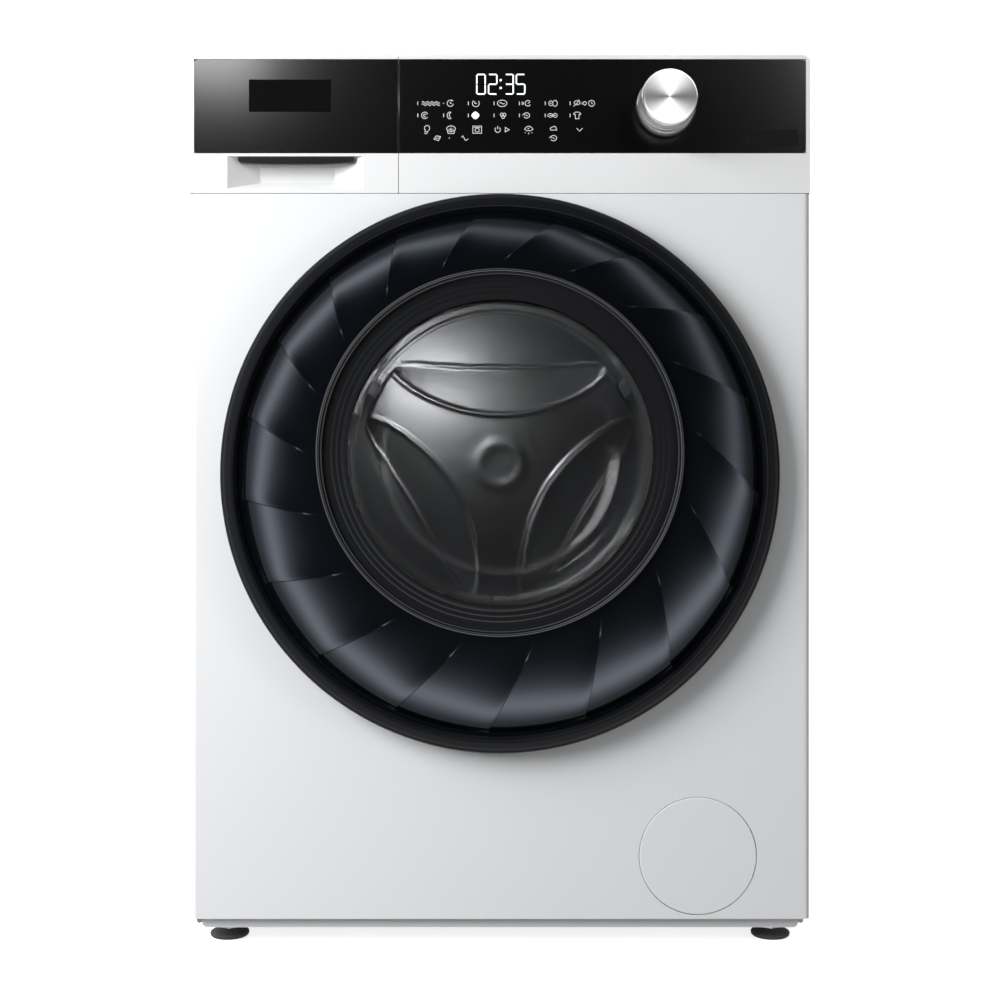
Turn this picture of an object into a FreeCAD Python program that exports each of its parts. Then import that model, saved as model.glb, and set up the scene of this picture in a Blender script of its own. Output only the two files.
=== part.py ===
import FreeCAD, Part
import math
import os

V = FreeCAD.Vector

# Front load washing machine. Millimetres, +Z up, front towards -Y, origin on the floor
# under the middle of the machine's box.

# Driving sizes: the cabinet
WIDTH = 595.0
HEIGHT = 858.0
DEPTH = 565.0                 # front face to rear face of the cabinet
DOOR_PROUD = 47.0             # window trim in front of the cabinet
REAR_PROUD = 14.0             # water fittings behind the cabinet
SHEET = 1.0                   # steel sheet
WALL = 2.5                    # moulded plastic wall
FRONT_PAN = 20.0              # depth of the front panel's and console's side returns
CORNER_R = 6.0                # rounded upright edges of the front panel
TOP_CORNER_R = 7.0            # rounded upper corners
CABINET_BASE_Z = 29.0         # lower edge of the steel cabinet
CONSOLE_Z = 725.0             # seam between front panel and console
TOP_COVER_H = 20.0
SEAM = 0.3                    # half of the gap round the drawer and the console

# Base, feet
RAIL_Z = 18.0                 # underside of the base frame
RAIL_SETBACK = 10.0
RAIL_HALF_W = 288.0
FOOT_X = 267.5
FOOT_INSET = 45.0             # foot axis behind the front face and ahead of the rear face
FOOT_PAD_R = 19.0
FOOT_PAD_H = 9.0
FOOT_HEX_AF = 16.0
FOOT_STEM_R = 5.0
FOOT_STEM_L = 40.0
RUN_CLEAR = 0.05              # radial clearance of a shaft or thread in its bore
SEAT = 0.3                    # clearance between a piece and what carries it

# Console and drawer
DRAWER_SEAM_X = -97.5
GLASS_Z0 = 763.7
GLASS_Z1 = 854.2
GLASS_SIDE = 3.8              # white border outside the glass
GLASS_T = 3.0
HANDLE_X = (-261.7, -131.5)
HANDLE_Z = (729.9, 760.9)
HANDLE_DEPTH = 17.0
HANDLE_TAPER = 29.0           # how far the recess's back wall is drawn in at each end
HANDLE_SLOPE = 9.0            # rise of the recess's floor to its back wall
GRIP_X = (-251.8, -140.4)
GRIP_H = 7.0
GRIP_DEPTH = 5.0
TRAY_LENGTH = 195.0
TRAY_HEIGHT = 68.0
HOUSING_DEPTH = 240.0
KNOB_X = 158.7
KNOB_Z = 808.0
KNOB_SKIRT_R = 29.0
KNOB_CAP_R = 27.2
KNOB_FACE_R = 25.0
KNOB_PROUD = 38.0
KNOB_SPLIT = 13.0
KNOB_SHAFT_R = 3.0

# Door
DOOR_Z = 456.0
DOOR_R = 266.0
DOOR_LIP_R = 253.0
DOOR_SEAT_R = 249.0
DOOR_GAP = 3.0                # door back to front panel
AXIS_Z = 475.0                # window, gasket, tub and drum share this axis
TRIM_R = 171.5
TRIM_BEAD = 5.5
PANE_T = 3.0
BOWL_T = 5.0
HINGE_X = -256.0
HINGE_Y = 13.0                # hinge axis in front of the front panel
HINGE_PIN_R = 2.5
HINGE_KNUCKLE_R = 4.5
HINGE_HALF_H = 36.0
HINGE_KNUCKLE_H = 18.0
LATCH_X = 233.0

# Service opening
COVER_X = 189.9
COVER_Z = 89.3
COVER_R = 56.25
COVER_GAP = 0.5
PLUG_R = 30.0

# Tub, drum, drive
PORT_R = 182.0                # porthole in the front panel
TUB_R = 260.0
TUB_WALL = 4.0
TUB_FRONT_Y = 85.0            # tub front wall behind the cabinet's front face
REAR_SPACE = 105.0            # room for hub, pulley and belt behind the tub
TUB_REAR_Y = DEPTH - REAR_SPACE
TUB_SPLIT_Y = 250.0
MOUTH_R = 199.7
DRUM_GAP = 11.0               # drum to tub, all round
DRUM_R = TUB_R - TUB_WALL - DRUM_GAP
DRUM_SKIN = 2.0
DRUM_MOUTH_R = 190.0
DRUM_FRONT_Y = 98.0
DRUM_REAR_Y = TUB_REAR_Y - 20.0
SHAFT_R = 12.5
BEARING_R = 26.0
BEARING_T = 14.0
HUB_R = 40.0
HUB_END_Y = TUB_REAR_Y + 45.0
PULLEY_R = 140.0
PULLEY_Y = (HUB_END_Y + 7.0, HUB_END_Y + 25.0)
MOTOR_PULLEY_R = 11.0
MOTOR_R = 55.0
MOTOR_Z = 148.0
BELT_T = 2.5
DAMPER_X = 150.0
SPRING_X = 215.0
HANGER_Y = 280.0              # springs and dampers behind the front face

FRONT_Y = -(DEPTH + DOOR_PROUD + REAR_PROUD) / 2 + DOOR_PROUD
BACK_Y = FRONT_Y + DEPTH
HALF_W = WIDTH / 2
COVER_UNDER_Z = HEIGHT - TOP_COVER_H


def f(depth):
    """Y of a plane this far behind the cabinet's front face."""
    return FRONT_Y + depth


def box(x, y, z):
    """Block from three (low, high) pairs."""
    return Part.makeBox(x[1] - x[0], y[1] - y[0], z[1] - z[0], V(x[0], y[0], z[0]))


def disc(r, y, x=0.0, z=AXIS_Z):
    """Round bar along Y."""
    return Part.makeCylinder(r, y[1] - y[0], V(x, y[0], z), V(0, 1, 0))


def tube(r_out, r_in, y, x=0.0, z=AXIS_Z):
    """Round tube along Y."""
    return disc(r_out, y, x, z).cut(disc(r_in, y, x, z))


def post(r, x, y, z):
    """Round bar along Z."""
    return Part.makeCylinder(r, z[1] - z[0], V(x, y, z[0]), V(0, 0, 1))


def turned(profile, x=0.0, z=AXIS_Z):
    """Solid turned about a front-to-back axis from (radius, depth) points."""
    points = [V(x + r, f(depth), z) for r, depth in profile]
    face = Part.Face(Part.makePolygon(points + points[:1]))
    return face.revolve(V(x, 0, z), V(0, 1, 0), 360)


def fuse(first, *others):
    """One solid from touching or crossing pieces."""
    return first.multiFuse(list(others)).removeSplitter() if others else first


def cut(shape, *tools):
    """Shape with the tools taken out."""
    for tool in tools:
        shape = shape.cut(tool)
    return shape


def round_edges(shape, r, along, where):
    """Fillets the straight edges that run along one axis and whose middle passes the test."""
    picked = []
    for edge in shape.Edges:
        if edge.Curve.TypeId != "Part::GeomLine":
            continue
        direction = edge.tangentAt(edge.FirstParameter)
        if abs(direction.dot(along)) > 0.999 and where(edge.CenterOfMass):
            picked.append(edge)
    return shape.makeFillet(r, picked)


def save(name, *shapes):
    """Writes one node: a single solid, or a group of like ones."""
    shape = shapes[0] if len(shapes) == 1 else Part.makeCompound(list(shapes))
    solids = shape.Solids
    if len(solids) == 1:
        shape = solids[0]
    print(name, len(solids), "valid" if shape.isValid() else "NOT VALID", round(shape.Volume))
    shape.exportStep("parts/" + name + ".step")


os.makedirs("parts", exist_ok=True)
UP = V(0, 0, 1)
BACK = V(0, 1, 0)
INNER_W = HALF_W - SHEET


# Cabinet wrap: both sides and the floor pan, folded from one sheet.
def cabinet_wrap():
    y = (f(FRONT_PAN), BACK_Y - SHEET)
    z = (CABINET_BASE_Z, COVER_UNDER_Z)
    wrap = box((-HALF_W, HALF_W), y, z)
    inside = box((-INNER_W, INNER_W), y, (z[0] + SHEET, z[1]))
    floor_hole = box((-120, 120), (f(200), f(400)), (z[0] - 1, z[0] + SHEET + 1))
    wrap = cut(wrap, inside, floor_hole)
    for x, y_foot in foot_places():
        wrap = cut(wrap, post(FOOT_STEM_R + 1, x, y_foot, (z[0] - 1, z[0] + SHEET + 1)))
    return wrap


def foot_places():
    """Foot axes: front left, front right, rear left, rear right."""
    return [(x, y) for y in (f(FOOT_INSET), BACK_Y - FOOT_INSET) for x in (-FOOT_X, FOOT_X)]


# Front panel: a pressed pan with the porthole, hinge slots, latch slot and service hole.
def front_panel():
    z = (CABINET_BASE_Z, CONSOLE_Z)
    panel = box((-HALF_W, HALF_W), (f(0), f(FRONT_PAN)), z)
    panel = round_edges(panel, CORNER_R, UP, lambda c: c.y < f(1))
    inner_r = CORNER_R - SHEET
    inside = box((-INNER_W, INNER_W), (f(SHEET), f(FRONT_PAN + 1)), (z[0] + SHEET, z[1] - SHEET))
    inside = round_edges(inside, inner_r, UP, lambda c: c.y < f(SHEET + 1))
    skin = (f(-1), f(SHEET + 1))
    slots = [box((HINGE_X + 11, HINGE_X + 15.5), skin, span) for span in knuckle_spans(1.0)]
    latch_slot = box((LATCH_X - 7, LATCH_X + 13), skin, (DOOR_Z - 14, DOOR_Z + 14))
    port = disc(PORT_R, skin)
    service = disc(COVER_R + COVER_GAP, skin, COVER_X, COVER_Z)
    return cut(panel, inside, port, service, latch_slot, *slots)


def knuckle_spans(grow=0.0):
    """Heights of the two fixed hinge knuckles, each grown at both ends."""
    low = (DOOR_Z - HINGE_HALF_H - grow, DOOR_Z - HINGE_HALF_H + HINGE_KNUCKLE_H + grow)
    high = (DOOR_Z + HINGE_HALF_H - HINGE_KNUCKLE_H - grow, DOOR_Z + HINGE_HALF_H + grow)
    return low, high


# Rear panel with the drive's service opening, and the pressed cover over it.
SERVICE_X = 200.0
SERVICE_Z = (150.0, 620.0)
SERVICE_LAP = 10.0
COVER_SHEET = 1.5
INLET_X = 180.0
INLET_Z = 780.0
THREAD_R = 13.2               # 3/4 inch hose thread, 26.4 mm across
SPIGOT_X = -200.0
SPIGOT_Z = 120.0
SPIGOT_R = 11.0
GLAND_X = 230.0
GLAND_Z = 120.0
GLAND_R = 9.7


def rear_panel():
    z = (CABINET_BASE_Z, COVER_UNDER_Z)
    skin = (BACK_Y - SHEET, BACK_Y)
    panel = box((-HALF_W, HALF_W), skin, z)
    opening = box((-SERVICE_X, SERVICE_X), skin, SERVICE_Z)
    inlet = disc(THREAD_R + 1, skin, INLET_X, INLET_Z)
    spigot = disc(SPIGOT_R + 1, skin, SPIGOT_X, SPIGOT_Z)
    gland = disc(GLAND_R + SEAT, skin, GLAND_X, GLAND_Z)
    return cut(panel, opening, inlet, spigot, gland)


def rear_service_cover():
    x = (-SERVICE_X - SERVICE_LAP, SERVICE_X + SERVICE_LAP)
    z = (SERVICE_Z[0] - SERVICE_LAP, SERVICE_Z[1] + SERVICE_LAP)
    plate = box(x, (BACK_Y, BACK_Y + COVER_SHEET), z)
    dish = tube(PULLEY_R + 20, PULLEY_R + 14, (BACK_Y + COVER_SHEET, BACK_Y + 2 * COVER_SHEET))
    return fuse(plate, dish)


# Base frame: the ring of rails that carries the feet.
def base_frame():
    z = (RAIL_Z, CABINET_BASE_Z)
    ring = box((-RAIL_HALF_W, RAIL_HALF_W), (f(RAIL_SETBACK), BACK_Y - RAIL_SETBACK), z)
    ring = round_edges(ring, RAIL_SETBACK / 2, BACK, lambda c: c.z < RAIL_Z + 1)
    hole_x = FOOT_X - FOOT_PAD_R - RAIL_SETBACK
    hole_y = FOOT_INSET + FOOT_PAD_R
    hole = box((-hole_x, hole_x), (f(hole_y), BACK_Y - hole_y), (z[0] - 1, z[1] + 1))
    bores = [post(FOOT_STEM_R + RUN_CLEAR, x, y, (z[0] - 1, z[1] + 1)) for x, y in foot_places()]
    return cut(ring, hole, *bores)


# Top cover and the brace that carries the tub's springs.
def top_cover():
    y = (f(FRONT_PAN), BACK_Y)
    cover = box((-HALF_W, HALF_W), y, (COVER_UNDER_Z, HEIGHT))
    cover = round_edges(cover, TOP_CORNER_R, BACK, lambda c: c.z > HEIGHT - 1)
    hollow = box((-HALF_W + WALL, HALF_W - WALL), (y[0] + WALL, y[1] - WALL),
                 (COVER_UNDER_Z, HEIGHT - WALL))
    hollow = round_edges(hollow, TOP_CORNER_R - WALL, BACK, lambda c: c.z > HEIGHT - WALL - 1)
    return cut(cover, hollow)


BRACE_Z = (800.0, 820.0)
BRACE_HALF_D = 18.0


def top_brace():
    y = (f(HANGER_Y - BRACE_HALF_D), f(HANGER_Y + BRACE_HALF_D))
    bar = box((-INNER_W, INNER_W), y, BRACE_Z)
    groove = box((-INNER_W, INNER_W), (y[0] + 3, y[1] - 3), (BRACE_Z[0] + 3, BRACE_Z[1]))
    return cut(bar, groove)


save("cabinet_wrap", cabinet_wrap())
save("front_panel", front_panel())
save("rear_panel", rear_panel())
save("rear_service_cover", rear_service_cover())
save("base_frame", base_frame())
save("top_cover", top_cover())
save("top_brace", top_brace())


# Console: frame behind the glass, the glass, display, control housing with the knob's encoder.
def shaft_hole(r, y):
    """Hole on the knob's axis."""
    return disc(r, y, KNOB_X, KNOB_Z)


CONSOLE_X0 = DRAWER_SEAM_X + SEAM
DRAWER_X1 = DRAWER_SEAM_X - SEAM
FACE_Z = (CONSOLE_Z + 2 * SEAM, HEIGHT)
FACE_WALL = GLASS_T + WALL    # glass recess and the wall behind it


def face_pan(x, corner):
    """Moulded front pan over x, recessed for its glass, one upper corner rounded."""
    pan = box(x, (f(0), f(FRONT_PAN)), FACE_Z)
    pan = round_edges(pan, TOP_CORNER_R, BACK, lambda c: c.z > HEIGHT - 1 and c.x * corner > HALF_W - 1)
    hollow = box((x[0] + WALL, x[1] - WALL), (f(FACE_WALL), f(FRONT_PAN)),
                 (FACE_Z[0] + WALL, FACE_Z[1] - WALL))
    return cut(pan, hollow)


def glass_plate(x):
    """Glass lying in the recess of a front pan."""
    return box(x, (f(0), f(GLASS_T)), (GLASS_Z0, GLASS_Z1))


CONSOLE_GLASS_X = (CONSOLE_X0, HALF_W - GLASS_SIDE)
DRAWER_GLASS_X = (-HALF_W + GLASS_SIDE, DRAWER_X1)


def console_frame():
    frame = face_pan((CONSOLE_X0, HALF_W), 1)
    return cut(frame, glass_plate(CONSOLE_GLASS_X), shaft_hole(KNOB_SHAFT_R + 2, (f(0), f(FRONT_PAN))))


def console_glass():
    return cut(glass_plate(CONSOLE_GLASS_X), shaft_hole(KNOB_SHAFT_R + 2, (f(-1), f(FRONT_PAN))))


DISPLAY_X = (-90.0, 98.0)
DISPLAY_Z = (770.0, 846.0)
CONTROL_Y = (FRONT_PAN, 55.0)
CONTROL_X = (CONSOLE_X0, HALF_W - WALL)
CONTROL_Z = (FACE_Z[0] + 1, COVER_UNDER_Z - 2)
ENCODER_R = 12.0
SHAFT_END = 14.0


def display_module():
    return box(DISPLAY_X, (f(FACE_WALL), f(FACE_WALL + 7)), DISPLAY_Z)


def control_housing():
    """Box for the control board, with the knob's encoder as a boss on its front."""
    y = (f(CONTROL_Y[0]), f(CONTROL_Y[1]))
    housing = box(CONTROL_X, y, CONTROL_Z)
    hollow = box((CONTROL_X[0] + WALL, CONTROL_X[1] - WALL), (y[0] + WALL, y[1] - WALL),
                 (CONTROL_Z[0] + WALL, CONTROL_Z[1] - WALL))
    encoder = shaft_hole(ENCODER_R, (f(FACE_WALL), y[0]))
    bore = shaft_hole(KNOB_SHAFT_R + RUN_CLEAR, (f(FACE_WALL), f(SHAFT_END + 1)))
    return cut(fuse(cut(housing, hollow), encoder), bore)


# Programme knob: turned aluminium cap on a chrome skirt with the shaft.
def knob_cap():
    return turned([(0, -KNOB_PROUD), (KNOB_FACE_R, -KNOB_PROUD), (KNOB_FACE_R + 1.8, -KNOB_PROUD + 1.8),
                   (KNOB_CAP_R, -KNOB_SPLIT), (0, -KNOB_SPLIT)], KNOB_X, KNOB_Z)


def knob_skirt():
    return turned([(0, -KNOB_SPLIT), (KNOB_CAP_R + 0.6, -KNOB_SPLIT), (KNOB_SKIRT_R, -KNOB_SPLIT + 4),
                   (KNOB_SKIRT_R, -0.5), (KNOB_SHAFT_R, -0.5), (KNOB_SHAFT_R, SHAFT_END),
                   (0, SHAFT_END)], KNOB_X, KNOB_Z)


# Detergent drawer: front with its glass and grip, and the three-compartment tray.
def drawer_front():
    front = face_pan((-HALF_W, DRAWER_X1), -1)
    boss = box((HANDLE_X[0] - WALL, HANDLE_X[1] + WALL), (f(GLASS_T), f(FRONT_PAN)),
               (FACE_Z[0], HANDLE_Z[1] + WALL))
    return cut(fuse(front, boss), glass_plate(DRAWER_GLASS_X), handle_recess())


def handle_recess():
    """Finger recess that narrows from its mouth to a smaller back wall."""
    mouth = [(HANDLE_X[0], HANDLE_Z[0]), (HANDLE_X[1], HANDLE_Z[0]), (HANDLE_X[1], HANDLE_Z[1]),
             (HANDLE_X[0], HANDLE_Z[1])]
    back = [(HANDLE_X[0] + HANDLE_TAPER, HANDLE_Z[0] + HANDLE_SLOPE),
            (HANDLE_X[1] - HANDLE_TAPER, HANDLE_Z[0] + HANDLE_SLOPE),
            (HANDLE_X[1] - HANDLE_TAPER, HANDLE_Z[1]), (HANDLE_X[0] + HANDLE_TAPER, HANDLE_Z[1])]
    wires = []
    for outline, y in ((mouth, f(0)), (back, f(HANDLE_DEPTH))):
        points = [V(x, y, z) for x, z in outline]
        wires.append(Part.makePolygon(points + points[:1]))
    return Part.makeLoft(wires, True, True)


def drawer_glass():
    return glass_plate(DRAWER_GLASS_X)


def drawer_grip():
    lip = box(GRIP_X, (f(0.2), f(GRIP_DEPTH)), (HANDLE_Z[1] - GRIP_H, HANDLE_Z[1]))
    return round_edges(lip, 2.5, BACK, lambda c: c.z < HANDLE_Z[1] - GRIP_H + 1)


HOUSING_X = (-INNER_W, DRAWER_SEAM_X - 1)
HOUSING_Z = (CONSOLE_Z + 3, COVER_UNDER_Z - 2)
HOUSING_Y = (FRONT_PAN + 0.5, HOUSING_DEPTH)
TRAY_X = (HOUSING_X[0] + WALL + 1.5, HOUSING_X[1] - WALL - 1.5)
TRAY_Z = (HOUSING_Z[0] + WALL + SEAT, HOUSING_Z[0] + WALL + SEAT + TRAY_HEIGHT)
TRAY_RIBS_X = (-238.0, -158.0)


def drawer_tray():
    y = (f(FRONT_PAN), f(FRONT_PAN + TRAY_LENGTH))
    tray = box(TRAY_X, y, TRAY_Z)
    walls_x = [TRAY_X[0]] + [rib - WALL / 2 for rib in TRAY_RIBS_X] + [TRAY_X[1] - WALL]
    for left, right in zip(walls_x, walls_x[1:]):
        tray = tray.cut(box((left + WALL, right), (y[0] + WALL, y[1] - WALL), (TRAY_Z[0] + WALL, TRAY_Z[1])))
    return tray


def dispenser_housing():
    y = (f(HOUSING_Y[0]), f(HOUSING_Y[1]))
    housing = box(HOUSING_X, y, HOUSING_Z)
    hollow = box((HOUSING_X[0] + WALL, HOUSING_X[1] - WALL), (y[0], y[1] - WALL),
                 (HOUSING_Z[0] + WALL, HOUSING_Z[1] - WALL))
    return cut(housing, hollow)


save("console_frame", console_frame())
save("console_glass", console_glass())
save("display_module", display_module())
save("control_housing", control_housing())
save("knob_cap", knob_cap())
save("knob_skirt", knob_skirt())
save("drawer_front", drawer_front())
save("drawer_glass", drawer_glass())
save("drawer_grip", drawer_grip())
save("drawer_tray", drawer_tray())
save("dispenser_housing", dispenser_housing())


# Door: bezel, vaned ring, window trim, pane, glass bowl, inner frame, hinge arm and latch hook.
BEZEL_EDGE = 8.0
LIP_PROUD = 24.0
VANE_OUT_Y = -20.0
VANE_IN_Y = -44.0
VANE_T = 3.0
VANE_BORE_R = 166.3
SLEEVE_R = 170.0
BOWL_FLANGE_Y = (-12.0, -7.0)
FRAME_Y = (-7.0, -DOOR_GAP)
FRAME_HOLE_R = 152.0


def hinge_pocket():
    """Room inside the door's back for the fixed knuckles and their arms."""
    z = (DOOR_Z - HINGE_HALF_H - 6, DOOR_Z + HINGE_HALF_H + 6)
    pocket = box((HINGE_X - 6, HINGE_X + 20), (f(-HINGE_Y - 2), f(0)), z)
    return fuse(pocket, post(HINGE_KNUCKLE_R + 2, HINGE_X, f(-HINGE_Y), z))


def door_bezel():
    ring = turned([(DOOR_SEAT_R, -DOOR_GAP), (DOOR_R - 8, -DOOR_GAP), (DOOR_R, -BEZEL_EDGE),
                   (DOOR_R - 1.5, -BEZEL_EDGE - 5), (DOOR_R - 6, -LIP_PROUD + 5), (DOOR_LIP_R, -LIP_PROUD),
                   (DOOR_SEAT_R, -LIP_PROUD + 3)], 0, DOOR_Z)
    return cut(ring, hinge_pocket())


def cone_between(r_out, y_out, r_in, y_in):
    """Solid between a circle on the door's axis and a smaller one on the window's axis."""
    outer = Part.Wire(Part.makeCircle(r_out, V(0, f(y_out), DOOR_Z), BACK))
    inner = Part.Wire(Part.makeCircle(r_in, V(0, f(y_in), AXIS_Z), BACK))
    return Part.makeLoft([outer, inner], True, True)


def door_vane_ring():
    outer_r = DOOR_SEAT_R - SEAT
    shell = cone_between(outer_r, VANE_OUT_Y, TRIM_R - 0.2, VANE_IN_Y)
    core = cone_between(outer_r - VANE_T, VANE_OUT_Y + VANE_T, TRIM_R - VANE_T, VANE_IN_Y + VANE_T)
    rim = tube(outer_r, outer_r - VANE_T, (f(VANE_OUT_Y), f(FRAME_Y[0])), 0, DOOR_Z)
    sleeve = tube(SLEEVE_R, VANE_BORE_R, (f(VANE_IN_Y + 1), f(BOWL_FLANGE_Y[0])))
    bore = disc(VANE_BORE_R, (f(-DOOR_PROUD - 1), f(0)))
    ring = cut(fuse(cut(shell, core), rim, sleeve), bore)
    return cut(ring, hinge_pocket())


def window_trim():
    return turned([(TRIM_R - TRIM_BEAD - 3, -DOOR_PROUD + 5), (TRIM_R - TRIM_BEAD - 3, -DOOR_PROUD + 3),
                   (TRIM_R - TRIM_BEAD, -DOOR_PROUD + 1), (TRIM_R - 3, -DOOR_PROUD),
                   (TRIM_R, -DOOR_PROUD + 1.5), (TRIM_R, VANE_IN_Y),
                   (VANE_BORE_R - SEAT, VANE_IN_Y), (VANE_BORE_R - SEAT, -DOOR_PROUD + 5)])


def window_pane():
    return disc(VANE_BORE_R - SEAT, (f(-DOOR_PROUD + 5), f(-DOOR_PROUD + 5 + PANE_T)))


def glass_bowl():
    outer = [(SLEEVE_R, BOWL_FLANGE_Y[0]), (SLEEVE_R, BOWL_FLANGE_Y[1]), (149.5, BOWL_FLANGE_Y[1]),
             (148.0, 10), (146.0, 36), (138.0, 62), (122.0, 80), (104.0, 88), (0, 88)]
    inner = [(0, 88 - BOWL_T), (102.0, 88 - BOWL_T), (118.5, 76), (133.5, 59.5), (141.0, 35),
             (143.0, 8), (144.5, BOWL_FLANGE_Y[0])]
    return turned(outer + inner)


def door_inner_frame():
    plate = disc(DOOR_SEAT_R - 2, (f(FRAME_Y[0]), f(FRAME_Y[1])), 0, DOOR_Z)
    return cut(plate, disc(FRAME_HOLE_R, (f(FRAME_Y[0] - 1), f(0))), hinge_pocket())


def hinge_arm():
    knuckle_z = (knuckle_spans()[0][1] + SEAT, knuckle_spans()[1][0] - SEAT)
    knuckle = post(HINGE_KNUCKLE_R, HINGE_X, f(-HINGE_Y), knuckle_z)
    strap_z = (knuckle_z[0] + 1, knuckle_z[1] - 1)
    strap = box((HINGE_X, HINGE_X + 44), (f(FRAME_Y[0] - 4), f(FRAME_Y[0])), strap_z)
    bore = post(HINGE_PIN_R + RUN_CLEAR, HINGE_X, f(-HINGE_Y), (knuckle_z[0] - 1, knuckle_z[1] + 1))
    return cut(fuse(knuckle, strap), bore)


def latch_hook():
    z = (DOOR_Z - 10, DOOR_Z + 10)
    base = box((LATCH_X - 6, LATCH_X + 12), (f(-DOOR_GAP), f(-1)), z)
    shank = box((LATCH_X - 2, LATCH_X + 2), (f(-1), f(20)), z)
    tip = box((LATCH_X + 2, LATCH_X + 7), (f(15), f(20)), z)
    return fuse(base, shank, tip)


# Door hardware on the cabinet: hinge bracket and pin, and the lock behind the latch slot.
def hinge_bracket():
    plate = box((HINGE_X - 19, HINGE_X + 31), (f(SHEET), f(SHEET + 2)),
                (DOOR_Z - HINGE_HALF_H - 15, DOOR_Z + HINGE_HALF_H + 15))
    pieces = []
    for z in knuckle_spans():
        reach = box((HINGE_X, HINGE_X + 14.5), (f(-HINGE_Y - 1.25), f(-HINGE_Y + 1.25)), z)
        post_in = box((HINGE_X + 12, HINGE_X + 14.5), (f(-HINGE_Y - 1.25), f(SHEET)), z)
        pieces += [post(HINGE_KNUCKLE_R, HINGE_X, f(-HINGE_Y), z), reach, post_in]
    bore_z = (DOOR_Z - HINGE_HALF_H - 1, DOOR_Z + HINGE_HALF_H + 1)
    return cut(fuse(plate, *pieces), post(HINGE_PIN_R + RUN_CLEAR, HINGE_X, f(-HINGE_Y), bore_z))


def hinge_pin():
    return post(HINGE_PIN_R, HINGE_X, f(-HINGE_Y), (DOOR_Z - HINGE_HALF_H, DOOR_Z + HINGE_HALF_H))


def door_lock():
    lock = box((LATCH_X - 12, LATCH_X + 29), (f(SHEET), f(40)), (DOOR_Z - 31, DOOR_Z + 31))
    return cut(lock, box((LATCH_X - 7, LATCH_X + 13), (f(0), f(30)), (DOOR_Z - 14, DOOR_Z + 14)))


save("door_bezel", door_bezel())
save("door_vane_ring", door_vane_ring())
save("window_trim", window_trim())
save("window_pane", window_pane())
save("glass_bowl", glass_bowl())
save("door_inner_frame", door_inner_frame())
save("hinge_arm", hinge_arm())
save("latch_hook", latch_hook())
save("hinge_bracket", hinge_bracket())
save("hinge_pin", hinge_pin())
save("door_lock", door_lock())


# Service opening: round cover, filter housing with its plug, pump, sump hose.
FILTER_END_Y = 95.0
FILTER_SHELL_R = 34.0
PUMP_END_Y = 165.0
PUMP_R = 32.0
SUMP_X = 175.0
SUMP_Y = 130.0
SUMP_R = 14.0


def service_cover():
    plate = disc(COVER_R, (f(0), f(WALL)), COVER_X, COVER_Z)
    rim = tube(COVER_R - 3, COVER_R - 5, (f(WALL), f(WALL + 6)), COVER_X, COVER_Z)
    return fuse(plate, rim)


def pump_filter_housing():
    ear_x = COVER_R + 12
    ears = box((COVER_X - ear_x, COVER_X + ear_x), (f(SHEET), f(4)), (COVER_Z - 8, COVER_Z + 8))
    ears = ears.cut(disc(COVER_R + 1, (f(0), f(5)), COVER_X, COVER_Z))
    cup = tube(COVER_R + 3, COVER_R + 1, (f(SHEET), f(20)), COVER_X, COVER_Z)
    floor = tube(COVER_R + 3, PLUG_R + RUN_CLEAR, (f(18), f(20)), COVER_X, COVER_Z)
    shell = tube(FILTER_SHELL_R, PLUG_R + RUN_CLEAR, (f(18), f(FILTER_END_Y)), COVER_X, COVER_Z)
    end = disc(FILTER_SHELL_R, (f(FILTER_END_Y - 3), f(FILTER_END_Y)), COVER_X, COVER_Z)
    return fuse(cup, ears, floor, shell, end)


def filter_plug():
    body = disc(PLUG_R, (f(16), f(80)), COVER_X, COVER_Z)
    hollow = disc(PLUG_R - 5, (f(40), f(81)), COVER_X, COVER_Z)
    grip = box((COVER_X - 22, COVER_X + 22), (f(10), f(16)), (COVER_Z - 4, COVER_Z + 4))
    return cut(fuse(body, grip), hollow)


def drain_pump():
    motor = disc(PUMP_R - 8, (f(FILTER_END_Y + 30), f(PUMP_END_Y)), COVER_X, COVER_Z)
    return fuse(disc(PUMP_R, (f(FILTER_END_Y), f(FILTER_END_Y + 30)), COVER_X, COVER_Z), motor)


def tub_underside(x):
    """Height of the tub's outer wall at this distance from the middle, on its lower side."""
    return AXIS_Z - math.sqrt(TUB_R ** 2 - x ** 2)


def sump_hose():
    near_side = SUMP_X - SUMP_R
    z = (COVER_Z + PUMP_R + SEAT, tub_underside(near_side) - SEAT)
    return cut(post(SUMP_R, SUMP_X, f(SUMP_Y - 10), z), post(SUMP_R - 3, SUMP_X, f(SUMP_Y - 10), z))


# Tub: front and rear halves, counterweights, heater, bearings.
def tub_front():
    wall = tube(TUB_R, TUB_R - TUB_WALL, (f(TUB_FRONT_Y), f(TUB_SPLIT_Y)))
    face = tube(TUB_R, MOUTH_R, (f(TUB_FRONT_Y), f(TUB_FRONT_Y + TUB_WALL)))
    collar = tube(MOUTH_R + TUB_WALL, MOUTH_R, (f(TUB_FRONT_Y - 15), f(TUB_FRONT_Y + 1)))
    return fuse(wall, face, collar)


HEATER_ROD_R = 3.5
HEATER_SPREAD = 20.0
HEATER_Y0 = 260.0
HEATER_RING_R = TUB_R - TUB_WALL - 5.5
HEATER_Z = AXIS_Z - math.sqrt(HEATER_RING_R ** 2 - HEATER_SPREAD ** 2)
BEARING_STARTS = (TUB_REAR_Y + 1, HUB_END_Y - BEARING_T - 1)


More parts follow.
